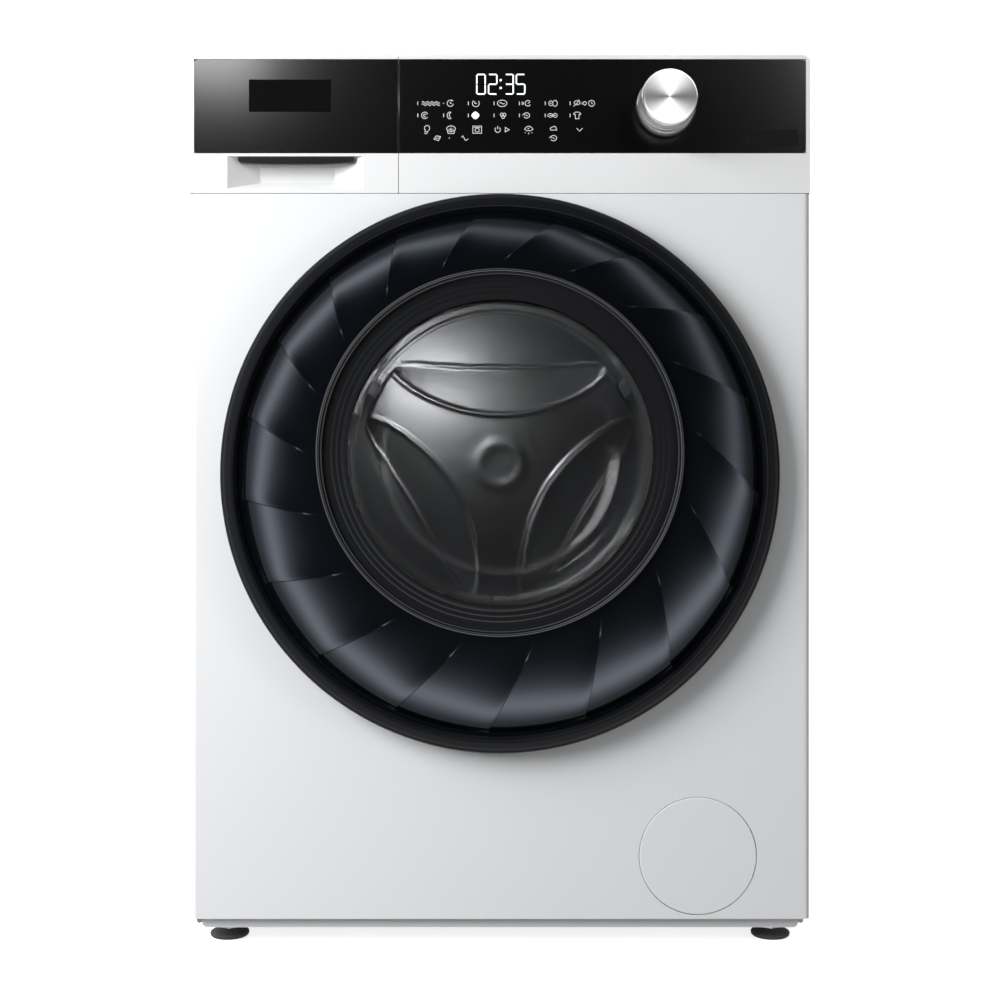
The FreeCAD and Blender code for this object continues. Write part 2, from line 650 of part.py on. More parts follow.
def tub_rear():
    wall = tube(TUB_R, TUB_R - TUB_WALL, (f(TUB_SPLIT_Y), f(TUB_REAR_Y)))
    end = disc(TUB_R, (f(TUB_REAR_Y - TUB_WALL), f(TUB_REAR_Y)))
    hub = disc(HUB_R, (f(TUB_REAR_Y), f(HUB_END_Y)))
    pieces = [wall, end, hub]
    for side in (-1, 1):
        x = sorted((side * (SPRING_X - 10), side * (SPRING_X + 10)))
        lug_z = AXIS_Z + math.sqrt(TUB_R ** 2 - (SPRING_X - 10) ** 2)
        pieces.append(box(x, (f(HANGER_Y - 8), f(HANGER_Y + 8)), (lug_z - 45, lug_z + 6)))
    body = cut(fuse(*pieces), disc(TUB_R - TUB_WALL, (f(TUB_SPLIT_Y), f(TUB_REAR_Y - TUB_WALL))))
    for start in BEARING_STARTS:
        body = body.cut(disc(BEARING_R, (f(start), f(start + BEARING_T))))
    body = body.cut(disc(BEARING_R, (f(BEARING_STARTS[1]), f(HUB_END_Y + 1))))
    for side in (-1, 1):
        rod_hole = (f(TUB_REAR_Y - TUB_WALL - 1), f(TUB_REAR_Y + 1))
        body = body.cut(disc(HEATER_ROD_R + RUN_CLEAR, rod_hole, side * HEATER_SPREAD, HEATER_Z))
    return cut(body, disc(SHAFT_R + 2, (f(TUB_REAR_Y - TUB_WALL - 1), f(HUB_END_Y + 1))))


def drum_bearings():
    spans = [(f(start), f(start + BEARING_T)) for start in BEARING_STARTS]
    return [tube(BEARING_R, SHAFT_R + RUN_CLEAR, span) for span in spans]


def counterweights():
    upper = box((-60, 180), (f(100), f(220)), (AXIS_Z + 180, AXIS_Z + TUB_R + 40))
    upper = upper.cut(disc(TUB_R + SEAT, (f(99), f(221))))
    front_y = (f(TUB_FRONT_Y - 25), f(TUB_FRONT_Y))
    lower = tube(TUB_R - 5, MOUTH_R + TUB_WALL + 2, front_y)
    lower = lower.cut(box((-TUB_R, TUB_R), front_y, (AXIS_Z - 40, AXIS_Z + TUB_R)))
    return [upper, lower]


def heater():
    y = (f(HEATER_Y0), f(TUB_REAR_Y + 15))
    rods = [disc(HEATER_ROD_R, y, side * HEATER_SPREAD, HEATER_Z) for side in (-1, 1)]
    rods += [Part.makeSphere(HEATER_ROD_R, V(side * HEATER_SPREAD, y[0], HEATER_Z)) for side in (-1, 1)]
    bend = Part.makeCylinder(HEATER_ROD_R, 2 * HEATER_SPREAD, V(-HEATER_SPREAD, y[0], HEATER_Z), V(1, 0, 0))
    flange = box((-35, 35), (f(TUB_REAR_Y), f(TUB_REAR_Y + 5)), (HEATER_Z - 13, HEATER_Z + 13))
    return fuse(bend, flange, *rods)


# Drum: shell with its closed rear, front end round the mouth, lifters, spider with the shaft,
# pulley.
STAR_ARMS = (90.0, 210.0, 330.0)
LIFTER_ANGLES = (30.0, 150.0, 270.0)
LIFTER_H = 42.0
SPIDER_T = 12.0


def drum_shell():
    y = (f(DRUM_FRONT_Y + DRUM_SKIN), f(DRUM_REAR_Y))
    hollow = disc(DRUM_R - DRUM_SKIN, (y[0], y[1] - DRUM_SKIN))
    return cut(disc(DRUM_R, y), hollow)


def drum_front_end():
    return tube(DRUM_R, DRUM_MOUTH_R, (f(DRUM_FRONT_Y), f(DRUM_FRONT_Y + DRUM_SKIN)))


def turned_about_axis(shape, angle):
    """Copy of a shape turned about the drum's axis, anticlockwise seen from the front."""
    copy = shape.copy()
    copy.rotate(V(0, 0, AXIS_Z), V(0, -1, 0), angle)
    return copy


def drum_lifters():
    root_r = DRUM_R - DRUM_SKIN - SEAT
    points = [V(root_r - LIFTER_H, f(0), AXIS_Z + w) for w in (-9, 9)]
    points += [V(root_r - 1, f(0), AXIS_Z + w) for w in (30, -30)]
    face = Part.Face(Part.makePolygon(points + points[:1]))
    face.translate(V(0, DRUM_FRONT_Y + 25, 0))
    lifter = face.extrude(V(0, DRUM_REAR_Y - DRUM_FRONT_Y - 50, 0))
    lifter = lifter.common(disc(root_r, (f(DRUM_FRONT_Y), f(DRUM_REAR_Y))))
    return [turned_about_axis(lifter, angle) for angle in LIFTER_ANGLES]


def drum_spider():
    hub = disc(32, (f(DRUM_REAR_Y), f(DRUM_REAR_Y + SPIDER_T)))
    shaft = disc(SHAFT_R, (f(DRUM_REAR_Y), f(PULLEY_Y[1] + 4)))
    arm = box((0, DRUM_R - 10), (f(DRUM_REAR_Y), f(DRUM_REAR_Y + SPIDER_T)), (AXIS_Z - 16, AXIS_Z + 16))
    arms = [turned_about_axis(arm, angle) for angle in STAR_ARMS]
    return fuse(hub, shaft, *arms)


def drum_pulley():
    rim = tube(PULLEY_R, PULLEY_R - 8, (f(PULLEY_Y[0]), f(PULLEY_Y[1])))
    hub = disc(28, (f(PULLEY_Y[0]), f(PULLEY_Y[1])))
    spoke = box((20, PULLEY_R - 4), (f(PULLEY_Y[0] + 5), f(PULLEY_Y[1] - 5)), (AXIS_Z - 9, AXIS_Z + 9))
    spokes = [turned_about_axis(spoke, angle) for angle in range(0, 360, 72)]
    return cut(fuse(rim, hub, *spokes), disc(SHAFT_R + RUN_CLEAR, (f(PULLEY_Y[0]), f(PULLEY_Y[1]))))


# Motor under the tub and the flat belt to the drum pulley.
MOTOR_Y = (TUB_REAR_Y - 75.0, TUB_REAR_Y + 40.0)
MOTOR_WALL = 13.0
MOTOR_SHAFT_R = 6.0


def motor_stator():
    body = disc(MOTOR_R, (f(MOTOR_Y[0]), f(MOTOR_Y[1])), 0, MOTOR_Z)
    cavity = disc(MOTOR_R - MOTOR_WALL, (f(MOTOR_Y[0] + 5), f(MOTOR_Y[1] - 5)), 0, MOTOR_Z)
    bore = disc(MOTOR_SHAFT_R + RUN_CLEAR, (f(MOTOR_Y[0] + 3), f(MOTOR_Y[1] + 1)), 0, MOTOR_Z)
    hanger_z = (MOTOR_Z + MOTOR_R - 6, tub_underside(0) - SEAT)
    hanger = box((-15, 15), (f(MOTOR_Y[0] + 10), f(TUB_REAR_Y - 10)), hanger_z)
    return cut(fuse(body, hanger), cavity, bore)


def motor_rotor():
    core = disc(MOTOR_R - MOTOR_WALL - 1, (f(MOTOR_Y[0] + 6), f(MOTOR_Y[1] - 6)), 0, MOTOR_Z)
    shaft = disc(MOTOR_SHAFT_R, (f(MOTOR_Y[0] + 4), f(PULLEY_Y[1])), 0, MOTOR_Z)
    pulley = disc(MOTOR_PULLEY_R, (f(PULLEY_Y[0]), f(PULLEY_Y[1])), 0, MOTOR_Z)
    return fuse(core, shaft, pulley)


def belt_loop(grow):
    """Solid inside a belt line that lies this far outside both pulleys."""
    y = (f(PULLEY_Y[0] + 2), f(PULLEY_Y[1] - 2))
    big_r = PULLEY_R + grow
    small_r = MOTOR_PULLEY_R + grow
    lean = (big_r - small_r) / (AXIS_Z - MOTOR_Z)
    across = math.sqrt(1 - lean ** 2)
    touches = ((-1, big_r, AXIS_Z), (1, big_r, AXIS_Z), (1, small_r, MOTOR_Z), (-1, small_r, MOTOR_Z))
    corners = [V(side * r * across, y[0], z - r * lean) for side, r, z in touches]
    web = Part.Face(Part.makePolygon(corners + corners[:1])).extrude(V(0, y[1] - y[0], 0))
    return fuse(disc(big_r, y), disc(small_r, y, 0, MOTOR_Z), web)


def drive_belt():
    return cut(belt_loop(SEAT + BELT_T), belt_loop(SEAT))


# Suspension: springs from the brace, dampers from the floor pan.
DAMPER_R = 14.0
DAMPER_BORE_R = 11.0
DAMPER_TOP_Z = 140.0
DAMPER_ROD_R = 6.0
SPRING_R = 12.0


def suspension_springs():
    z = (AXIS_Z + math.sqrt(TUB_R ** 2 - (SPRING_X - 10) ** 2) + 6 + SEAT, BRACE_Z[0] - SEAT)
    springs = []
    for side in (-1, 1):
        x = side * SPRING_X
        springs.append(cut(post(SPRING_R, x, f(HANGER_Y), z), post(SPRING_R - 3, x, f(HANGER_Y), z)))
    return springs


def damper_cylinders():
    base_z = CABINET_BASE_Z + SHEET
    cylinders = []
    for side in (-1, 1):
        x = side * DAMPER_X
        body = post(DAMPER_R, x, f(HANGER_Y), (base_z, DAMPER_TOP_Z))
        bore = post(DAMPER_BORE_R, x, f(HANGER_Y), (base_z + 3, DAMPER_TOP_Z - 10))
        neck = post(DAMPER_ROD_R + SEAT, x, f(HANGER_Y), (base_z + 3, DAMPER_TOP_Z + 1))
        cylinders.append(cut(body, bore, neck))
    return cylinders


def damper_rods():
    top_z = tub_underside(DAMPER_X - DAMPER_ROD_R) - SEAT
    return [post(DAMPER_ROD_R, side * DAMPER_X, f(HANGER_Y), (60, top_z)) for side in (-1, 1)]


# Gasket between the porthole and the tub's mouth.
def door_gasket():
    lip_r = MOUTH_R - SEAT
    profile = [(190, SHEET), (190, 6), (178, 16), (178, 44), (194, 50), (194, 58), (184, 62), (184, 68),
               (lip_r, 74), (lip_r, 84), (lip_r - 3, 84), (lip_r - 3, 76.5), (181, 70.5), (181, 60),
               (191, 56), (191, 52.5), (175, 46.5), (175, 41), (151, 38), (151, 35.5), (175, 37.5),
               (175, 15), (176, SHEET)]
    return turned(profile)


# Water and mains fittings at the rear.
def inlet_valve():
    body = box((INLET_X - 25, INLET_X + 25), (BACK_Y - 45, BACK_Y - SHEET), (INLET_Z - 18, INLET_Z + 18))
    thread = disc(THREAD_R, (BACK_Y - SHEET, BACK_Y + REAR_PROUD), INLET_X, INLET_Z)
    return cut(fuse(body, thread), disc(8, (BACK_Y - 30, BACK_Y + REAR_PROUD + 1), INLET_X, INLET_Z))


def fill_hose():
    r = 8.0
    y_turn = f(HOUSING_DEPTH - 11)
    z = INLET_Z + 5
    run = Part.makeCylinder(r, BACK_Y - 45 - y_turn, V(INLET_X, y_turn, z), V(0, 1, 0))
    cross = Part.makeCylinder(r, INLET_X - HOUSING_X[1], V(HOUSING_X[1], y_turn, z), V(1, 0, 0))
    return fuse(run, cross, Part.makeSphere(r, V(INLET_X, y_turn, z)))


def drain_spigot():
    flange = disc(SPIGOT_R + 8, (BACK_Y - SHEET - 4, BACK_Y - SHEET), SPIGOT_X, SPIGOT_Z)
    pipe = disc(SPIGOT_R, (BACK_Y - SHEET - 40, BACK_Y + REAR_PROUD), SPIGOT_X, SPIGOT_Z)
    bore = disc(SPIGOT_R - 2.5, (BACK_Y - SHEET - 41, BACK_Y + REAR_PROUD + 1), SPIGOT_X, SPIGOT_Z)
    return cut(fuse(flange, pipe), bore)


def cord_gland():
    flange = disc(GLAND_R + 4, (BACK_Y, BACK_Y + 4), GLAND_X, GLAND_Z)
    neck = disc(GLAND_R, (BACK_Y - 6, BACK_Y), GLAND_X, GLAND_Z)
    return cut(fuse(flange, neck), disc(4, (BACK_Y - 7, BACK_Y + 5), GLAND_X, GLAND_Z))


def cabinet_screws():
    head_y = (BACK_Y + COVER_SHEET, BACK_Y + COVER_SHEET + 2.5)
    spots = [(side * (SERVICE_X + SERVICE_LAP / 2), z) for side in (-1, 1)
             for z in (SERVICE_Z[0], sum(SERVICE_Z) / 2, SERVICE_Z[1])]
    heads = [disc(4, head_y, x, z) for x, z in spots]
    for side in (-1, 1):
        plug_x = side * (RAIL_HALF_W + 2.8)
        heads.append(disc(2.8, (f(RAIL_SETBACK + 2), f(RAIL_SETBACK + 14)), plug_x, RAIL_Z + 6.5))
    return heads


# Screw foot: rubber pad moulded on a hexagon and threaded stem.
def foot(x, y):
    pad = Part.makeCone(FOOT_PAD_R - 2, FOOT_PAD_R, 3, V(x, y, 0), UP)
    body = post(FOOT_PAD_R, x, y, (3, FOOT_PAD_H - 5))
    top = Part.makeCone(FOOT_PAD_R, FOOT_HEX_AF / 2, 5, V(x, y, FOOT_PAD_H - 5), UP)
    corner_r = FOOT_HEX_AF / math.sqrt(3)
    turns = [math.radians(angle) for angle in range(30, 390, 60)]
    hexagon = [V(x + corner_r * math.cos(t), y + corner_r * math.sin(t), FOOT_PAD_H - 1) for t in turns]
    nut = Part.Face(Part.makePolygon(hexagon + hexagon[:1])).extrude(V(0, 0, RAIL_Z - SEAT - FOOT_PAD_H + 1))
    stem = post(FOOT_STEM_R, x, y, (RAIL_Z - SEAT - 1, RAIL_Z + FOOT_STEM_L))
    return fuse(pad, body, top, nut, stem)


save("service_cover", service_cover())
save("pump_filter_housing", pump_filter_housing())
save("filter_plug", filter_plug())
save("drain_pump", drain_pump())
save("sump_hose", sump_hose())
save("tub_front", tub_front())
save("tub_rear", tub_rear())
save("drum_bearings", *drum_bearings())
save("counterweights", *counterweights())
save("heater", heater())
save("drum_shell", drum_shell())
save("drum_front_end", drum_front_end())
save("drum_lifters", *drum_lifters())
save("drum_spider", drum_spider())
save("drum_pulley", drum_pulley())
save("motor_stator", motor_stator())
save("motor_rotor", motor_rotor())
save("drive_belt", drive_belt())
save("suspension_springs", *suspension_springs())
save("damper_cylinders", *damper_cylinders())
save("damper_rods", *damper_rods())
save("door_gasket", door_gasket())
save("inlet_valve", inlet_valve())
save("fill_hose", fill_hose())
save("drain_spigot", drain_spigot())
save("cord_gland", cord_gland())
save("cabinet_screws", *cabinet_screws())
for corner, (foot_x, foot_y) in zip(("front_left", "front_right", "rear_left", "rear_right"), foot_places()):
    save("foot_" + corner, foot(foot_x, foot_y))
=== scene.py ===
import math

import bmesh
import bpy
from mathutils import Matrix, Vector


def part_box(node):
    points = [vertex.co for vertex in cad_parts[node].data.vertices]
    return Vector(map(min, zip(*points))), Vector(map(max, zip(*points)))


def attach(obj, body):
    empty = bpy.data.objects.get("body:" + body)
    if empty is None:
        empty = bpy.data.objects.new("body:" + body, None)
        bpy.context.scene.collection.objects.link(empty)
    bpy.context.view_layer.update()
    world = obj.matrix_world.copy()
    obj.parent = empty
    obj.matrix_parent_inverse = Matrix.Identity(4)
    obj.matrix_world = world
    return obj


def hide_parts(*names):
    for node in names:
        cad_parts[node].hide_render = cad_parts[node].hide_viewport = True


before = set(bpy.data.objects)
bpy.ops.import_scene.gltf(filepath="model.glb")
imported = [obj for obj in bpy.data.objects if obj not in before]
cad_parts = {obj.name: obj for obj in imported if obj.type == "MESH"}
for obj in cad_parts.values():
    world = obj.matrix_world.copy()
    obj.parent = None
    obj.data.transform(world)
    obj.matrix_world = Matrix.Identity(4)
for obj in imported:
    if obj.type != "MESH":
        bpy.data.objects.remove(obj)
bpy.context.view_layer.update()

# Steel cabinet: the wrap folded from one sheet, baked with white enamel. The enamel is a thin
# hard coat with a faint orange peel that only shows in glancing light. Every later finish is
# made with the same few wiring helpers.
MM = 0.001


def new_finish(name, colour, roughness, metallic=0.0, **sockets):
    """Material with a Principled shader whose plain values are set on its own sockets."""
    material = bpy.data.materials.new(name)
    material.use_nodes = True
    shader = material.node_tree.nodes["Principled BSDF"]
    shader.inputs["Base Color"].default_value = (*colour, 1.0)
    shader.inputs["Roughness"].default_value = roughness
    shader.inputs["Metallic"].default_value = metallic
    for socket, value in sockets.items():
        shader.inputs[socket.replace("_", " ")].default_value = value
    return material


def new_group(name, inputs, outputs):
    """Empty shader node group; sockets are (name, kind) or (name, kind, default)."""
    group = bpy.data.node_groups.new(name, "ShaderNodeTree")
    for in_out, sockets in (("INPUT", inputs), ("OUTPUT", outputs)):
        for socket_name, kind, *default in sockets:
            socket = group.interface.new_socket(socket_name, in_out=in_out, socket_type="NodeSocket" + kind)
            if default:
                socket.default_value = default[0]
    return group, group.nodes.new("NodeGroupInput"), group.nodes.new("NodeGroupOutput")


def add_node(tree, kind, **settings):
    """Node with its properties set; a key such as in_0 sets the input socket of that number."""
    node = tree.nodes.new("ShaderNode" + kind)
    for key, value in settings.items():
        if key.startswith("in_"):
            node.inputs[int(key[3:])].default_value = value
        else:
            setattr(node, key, value)
    return node


def math_node(tree, operation, a, b=None):
    """Math node fed by sockets or plain numbers; returns its output socket."""
    node = add_node(tree, "Math", operation=operation)
    for slot, value in enumerate((a, b)):
        if isinstance(value, (int, float)):
            node.inputs[slot].default_value = value
        elif value is not None:
            tree.links.new(value, node.inputs[slot])
    return node.outputs[0]


def vector_math(tree, operation, a, b=None):
    """Vector Math node fed by sockets or plain vectors; returns the node."""
    node = add_node(tree, "VectorMath", operation=operation)
    for slot, value in enumerate((a, b)):
        if isinstance(value, (tuple, Vector)):
            node.inputs[slot].default_value = value
        elif value is not None:
            tree.links.new(value, node.inputs[slot])
    return node


def object_place(tree):
    """Place of the shading point in the machine's own frame, in metres."""
    return add_node(tree, "TexCoord").outputs["Object"]


def use_group(material, group, **values):
    """Places a shared group in a material with its own values."""
    node = material.node_tree.nodes.new("ShaderNodeGroup")
    node.node_tree = group
    for socket, value in values.items():
        node.inputs[socket.replace("_", " ")].default_value = value
    return node


def bump_from(material, height, distance, strength=1.0):
    """Feeds a height into the material's normal."""
    tree = material.node_tree
    bump = tree.nodes.new("ShaderNodeBump")
    bump.inputs["Distance"].default_value = distance
    bump.inputs["Strength"].default_value = strength
    tree.links.new(height, bump.inputs["Height"])
    tree.links.new(bump.outputs["Normal"], tree.nodes["Principled BSDF"].inputs["Normal"])


def surface_life_group():
    """Slow drift in gloss and tone from handling, and a fine texture height."""
    group, inp, out = new_group(
        "surface_life",
        [("Tone A", "Color"), ("Tone B", "Color"), ("Gloss A", "Float"), ("Gloss B", "Float"),
         ("Drift Scale", "Float", 6.0), ("Grain Scale", "Float", 900.0)],
        [("Tone", "Color"), ("Roughness", "Float"), ("Height", "Float")])
    link = group.links.new
    place = object_place(group)
    drift = add_node(group, "TexNoise", in_3=3.0)
    grain = add_node(group, "TexNoise", in_3=2.0)
    link(place, drift.inputs["Vector"])
    link(place, grain.inputs["Vector"])
    link(inp.outputs["Drift Scale"], drift.inputs["Scale"])
    link(inp.outputs["Grain Scale"], grain.inputs["Scale"])
    tone = add_node(group, "Mix", data_type="RGBA")
    gloss = add_node(group, "Mix", data_type="FLOAT")
    link(drift.outputs["Fac"], tone.inputs["Factor"])
    link(drift.outputs["Fac"], gloss.inputs["Factor"])
    link(inp.outputs["Tone A"], tone.inputs[6])
    link(inp.outputs["Tone B"], tone.inputs[7])
    link(inp.outputs["Gloss A"], gloss.inputs[2])
    link(inp.outputs["Gloss B"], gloss.inputs[3])
    link(tone.outputs[2], out.inputs["Tone"])
    link(gloss.outputs[0], out.inputs["Roughness"])
    link(grain.outputs["Fac"], out.inputs["Height"])
    return group


surface_life = surface_life_group()


def living_finish(name, tone_a, tone_b, gloss, metallic=0.0, drift=6.0, grain=900.0, depth=0.02, **sockets):
    """Finish whose tone and gloss drift gently, with a grain this deep in millimetres or none."""
    material = new_finish(name, tone_a, gloss[0], metallic, **sockets)
    life = use_group(material, surface_life, Tone_A=(*tone_a, 1), Tone_B=(*tone_b, 1), Gloss_A=gloss[0],
                     Gloss_B=gloss[1], Drift_Scale=drift, Grain_Scale=grain)
    links = material.node_tree.links
    shader = material.node_tree.nodes["Principled BSDF"]
    links.new(life.outputs["Tone"], shader.inputs["Base Color"])
    links.new(life.outputs["Roughness"], shader.inputs["Roughness"])
    if depth:
        bump_from(material, life.outputs["Height"], depth * MM)
    return material


def coat_node(node, material):
    """Gives a carried-over CAD node its finish."""
    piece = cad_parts[node]
    piece.data.materials.clear()
    piece.data.materials.append(material)


enamel = living_finish("white_enamel", (0.83, 0.84, 0.85), (0.80, 0.81, 0.825), (0.2, 0.27), drift=3.0,
                       grain=700.0, depth=0.012, Coat_Weight=0.35, Coat_Roughness=0.08)
coat_node("cabinet_wrap", enamel)

# Front panel, rear service cover and base frame: pressed and folded steel, baked with the same
# enamel as the wrap. The front panel's face is where everything on the front is measured from.
FRONT_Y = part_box("front_panel")[0].y
for pressed_node in ("front_panel", "rear_service_cover", "base_frame"):
    coat_node(pressed_node, enamel)

# Top cover: injection-moulded white cap with a fine spark-eroded texture, clipped down on the
# wrap. It is a shade warmer than the enamel, and its skin is satin.
cover_plastic = living_finish("white_cover_plastic", (0.82, 0.825, 0.83), (0.80, 0.805, 0.815), (0.33, 0.4),
                              drift=5.0, grain=1600.0, depth=0.03)
coat_node("top_cover", cover_plastic)

# Bare steelwork: rear panel, brace, motor shell and suspension are galvanised
# sheet, so the zinc shows as dull interlocked spangles with a grey-blue cast.


def spangle_group():
    """Zinc spangles: flat crystals a few millimetres across that differ in tone and gloss."""
    group, inp, out = new_group("zinc_spangle", [("Crystal Scale", "Float", 260.0)],
                                [("Tone", "Color"), ("Roughness", "Float"), ("Height", "Float")])
    link = group.links.new
    crystals = add_node(group, "TexVoronoi", feature="F1")
    link(object_place(group), crystals.inputs["Vector"])
    link(inp.outputs["Crystal Scale"], crystals.inputs["Scale"])
    split = add_node(group, "SeparateColor")
    link(crystals.outputs["Color"], split.inputs[0])
    tone = add_node(group, "Mix", data_type="RGBA", in_6=(0.40, 0.42, 0.45, 1), in_7=(0.56, 0.58, 0.60, 1))
    gloss = add_node(group, "MapRange", in_3=0.34, in_4=0.55)
    link(split.outputs[0], tone.inputs[0])
    link(split.outputs[1], gloss.inputs[0])
    link(tone.outputs[2], out.inputs["Tone"])
    link(gloss.outputs[0], out.inputs["Roughness"])
    link(split.outputs[2], out.inputs["Height"])
    return group


zinc_spangle = spangle_group()


def galvanised_finish():
    material = new_finish("galvanised_steel", (0.5, 0.52, 0.54), 0.45, 0.9)
    spangle = use_group(material, zinc_spangle)
    shader = material.node_tree.nodes["Principled BSDF"]
    material.node_tree.links.new(spangle.outputs["Tone"], shader.inputs["Base Color"])
    material.node_tree.links.new(spangle.outputs["Roughness"], shader.inputs["Roughness"])
    bump_from(material, spangle.outputs["Height"], 0.02 * MM)
    return material


galvanised = galvanised_finish()
for zinc_node in ("rear_panel", "top_brace", "hinge_bracket", "motor_stator",
                  "suspension_springs", "damper_cylinders"):
    coat_node(zinc_node, galvanised)

# Inside plastics: tub halves, dispenser, pump and valve bodies are grey filled polypropylene
# with the dull skin of a cold tool. Nothing is painted.
grey_plastic = living_finish("grey_filled_plastic", (0.42, 0.44, 0.47), (0.36, 0.38, 0.41), (0.5, 0.62),
                             drift=14.0,
                             grain=1200.0, depth=0.05)
for grey_node in ("drawer_tray", "dispenser_housing", "tub_front", "tub_rear", "pump_filter_housing",
                  "filter_plug", "inlet_valve", "drain_spigot", "damper_rods"):
    coat_node(grey_node, grey_plastic)

# Black plastics and rubbers: lock, electronics box, pump motor and cord gland are
# black nylon; the hoses and the belt are matt rubber.
black_plastic = living_finish("black_nylon", (0.022, 0.022, 0.024), (0.03, 0.03, 0.032), (0.42, 0.52),
                              drift=12.0,
                              grain=1500.0, depth=0.04)
for nylon_node in ("door_lock", "control_housing", "drain_pump", "cord_gland", "display_module"):
    coat_node(nylon_node, black_plastic)
rubber = living_finish("black_rubber", (0.028, 0.028, 0.029), (0.04, 0.039, 0.038), (0.68, 0.82),
                       drift=16.0,
                       grain=1900.0, depth=0.06)
for rubber_node in ("drive_belt", "sump_hose", "fill_hose"):
    coat_node(rubber_node, rubber)

# Machined and cast pieces: pins, bearings, shafts, heater and screws are bright steel, the
# drum's pulley is cast aluminium, and the tub's ballast is cast concrete.
bright_steel = living_finish("machined_steel", (0.60, 0.61, 0.62), (0.52, 0.53, 0.55), (0.22, 0.34),
                             metallic=1.0,
                             drift=30.0, grain=2400.0, depth=0.015)
for steel_node in ("hinge_arm", "hinge_pin", "latch_hook", "drum_bearings", "heater", "cabinet_screws",
                   "drum_spider", "motor_rotor"):
    coat_node(steel_node, bright_steel)
cast_aluminium = living_finish("cast_aluminium", (0.58, 0.59, 0.60), (0.50, 0.51, 0.52), (0.45, 0.6),
                               metallic=1.0,
                               drift=20.0, grain=500.0, depth=0.2)
coat_node("drum_pulley", cast_aluminium)
concrete = living_finish("ballast_concrete", (0.36, 0.36, 0.35), (0.46, 0.45, 0.43), (0.85, 0.95),
                         drift=40.0,
                         grain=300.0, depth=0.6)
coat_node("counterweights", concrete)

# Console and drawer fronts: white moulded pans, glossier than the top cover because they are
# polished in the tool. Each has a shallow recess that its black glass is bonded into.


def from_bmesh(name, bm, material, smooth=True):
    """Turns a bmesh into a scene object with its finish."""
    bmesh.ops.recalc_face_normals(bm, faces=bm.faces)
    mesh = bpy.data.meshes.new(name)
    bm.to_mesh(mesh)
    bm.free()
    for polygon in mesh.polygons:
        polygon.use_smooth = smooth
    piece = bpy.data.objects.new(name, mesh)
    bpy.context.scene.collection.objects.link(piece)
    mesh.materials.append(material)
    return piece


def fit(piece, body, slot, *nodes):
    """Rides a piece on its body and hides the CAD nodes it stands for. The slot is not used."""
    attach(piece, body)
    if nodes:
        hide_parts(*nodes)
    return piece


def rounded_outline(x0, x1, z0, z1, radii, steps=8):
    """Corners in the order lower left, lower right, upper right, upper left, as (x, z) points."""
    corners = [(x0, z0, 1, 1, 180), (x1, z0, -1, 1, 270), (x1, z1, -1, -1, 0), (x0, z1, 1, -1, 90)]
    outline = []
    for (x, z, in_x, in_z, start), r in zip(corners, radii):
        if r <= 0:
            outline.append((x, z))
            continue
        for step in range(steps + 1):
            a = math.radians(start + 90 * step / steps)
            outline.append((x + in_x * r + r * math.cos(a), z + in_z * r + r * math.sin(a)))
    return outline


def skin_loops(bm, loops):
    """Quads between each loop of points and the next."""
    for a, b in zip(loops, loops[1:]):
        for i in range(len(a)):
            j = (i + 1) % len(a)
            bm.faces.new((a[i], a[j], b[j], b[i]))


def plate_from_outline(name, outline, y_front, y_back, edge, material, edge_steps=3):
    """Plate with a rounded front edge: rings of the outline, each drawn in as it nears the front."""
    cx = sum(p[0] for p in outline) / len(outline)
    cz = sum(p[1] for p in outline) / len(outline)
    half_w = max(abs(p[0] - cx) for p in outline)
    half_h = max(abs(p[1] - cz) for p in outline)
    bm = bmesh.new()
    rings = []
    levels = [(0.0, y_back)]
    for step in range(edge_steps + 1):
        a = math.radians(90 * step / edge_steps)
        levels.append((edge * (1 - math.cos(a)), y_front + edge * (1 - math.sin(a))))
    for inset, y in levels:
        kx = 1 - inset / half_w
        kz = 1 - inset / half_h
        rings.append([bm.verts.new((cx + (x - cx) * kx, y, cz + (z - cz) * kz)) for x, z in outline])
    skin_loops(bm, rings)
    bm.faces.new(rings[-1])
    bm.faces.new(list(reversed(rings[0])))
    piece = from_bmesh(name, bm, material)
    piece.modifiers.new("true_flats", "WEIGHTED_NORMAL").keep_sharp = True
    return piece


console_plastic = living_finish("console_white_plastic", (0.83, 0.835, 0.84), (0.815, 0.82, 0.83),
                                (0.2, 0.27),
                                drift=4.0, grain=1800.0, depth=0.01, Coat_Weight=0.2, Coat_Roughness=0.1)
coat_node("console_frame", console_plastic)
coat_node("drawer_front", console_plastic)

# Black glass: two 3 mm plates, printed black on the back and polished on the face, split where
# the drawer opens. Their outer corners are ground to a 4 mm radius and all edges are arrised.
GLASS_CORNER = 4 * MM
ARRIS = 0.5 * MM


# Deep black under a polished face, with faint smears where hands reach.
black_glass = living_finish("back_printed_glass", (0.001, 0.001, 0.0012), (0.0014, 0.0014, 0.0016),
                            (0.14, 0.18),
                            drift=9.0, grain=60.0, depth=0, Coat_Weight=0.6, Coat_Roughness=0.18)


def glass_piece(node, body, radii):
    low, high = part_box(node)
    outline = rounded_outline(low.x + 0.1 * MM, high.x - 0.1 * MM, low.z + 0.1 * MM, high.z - 0.1 * MM,
                              radii)
    plate = plate_from_outline(node + "_ground", outline, low.y, high.y - 0.1 * MM, ARRIS, black_glass)
    return fit(plate, body, "black_glass", node)


console_glass = glass_piece("console_glass", "cabinet", (0, GLASS_CORNER, GLASS_CORNER, 0))
drawer_glass = glass_piece("drawer_glass", "drawer", (GLASS_CORNER, 0, 0, GLASS_CORNER))

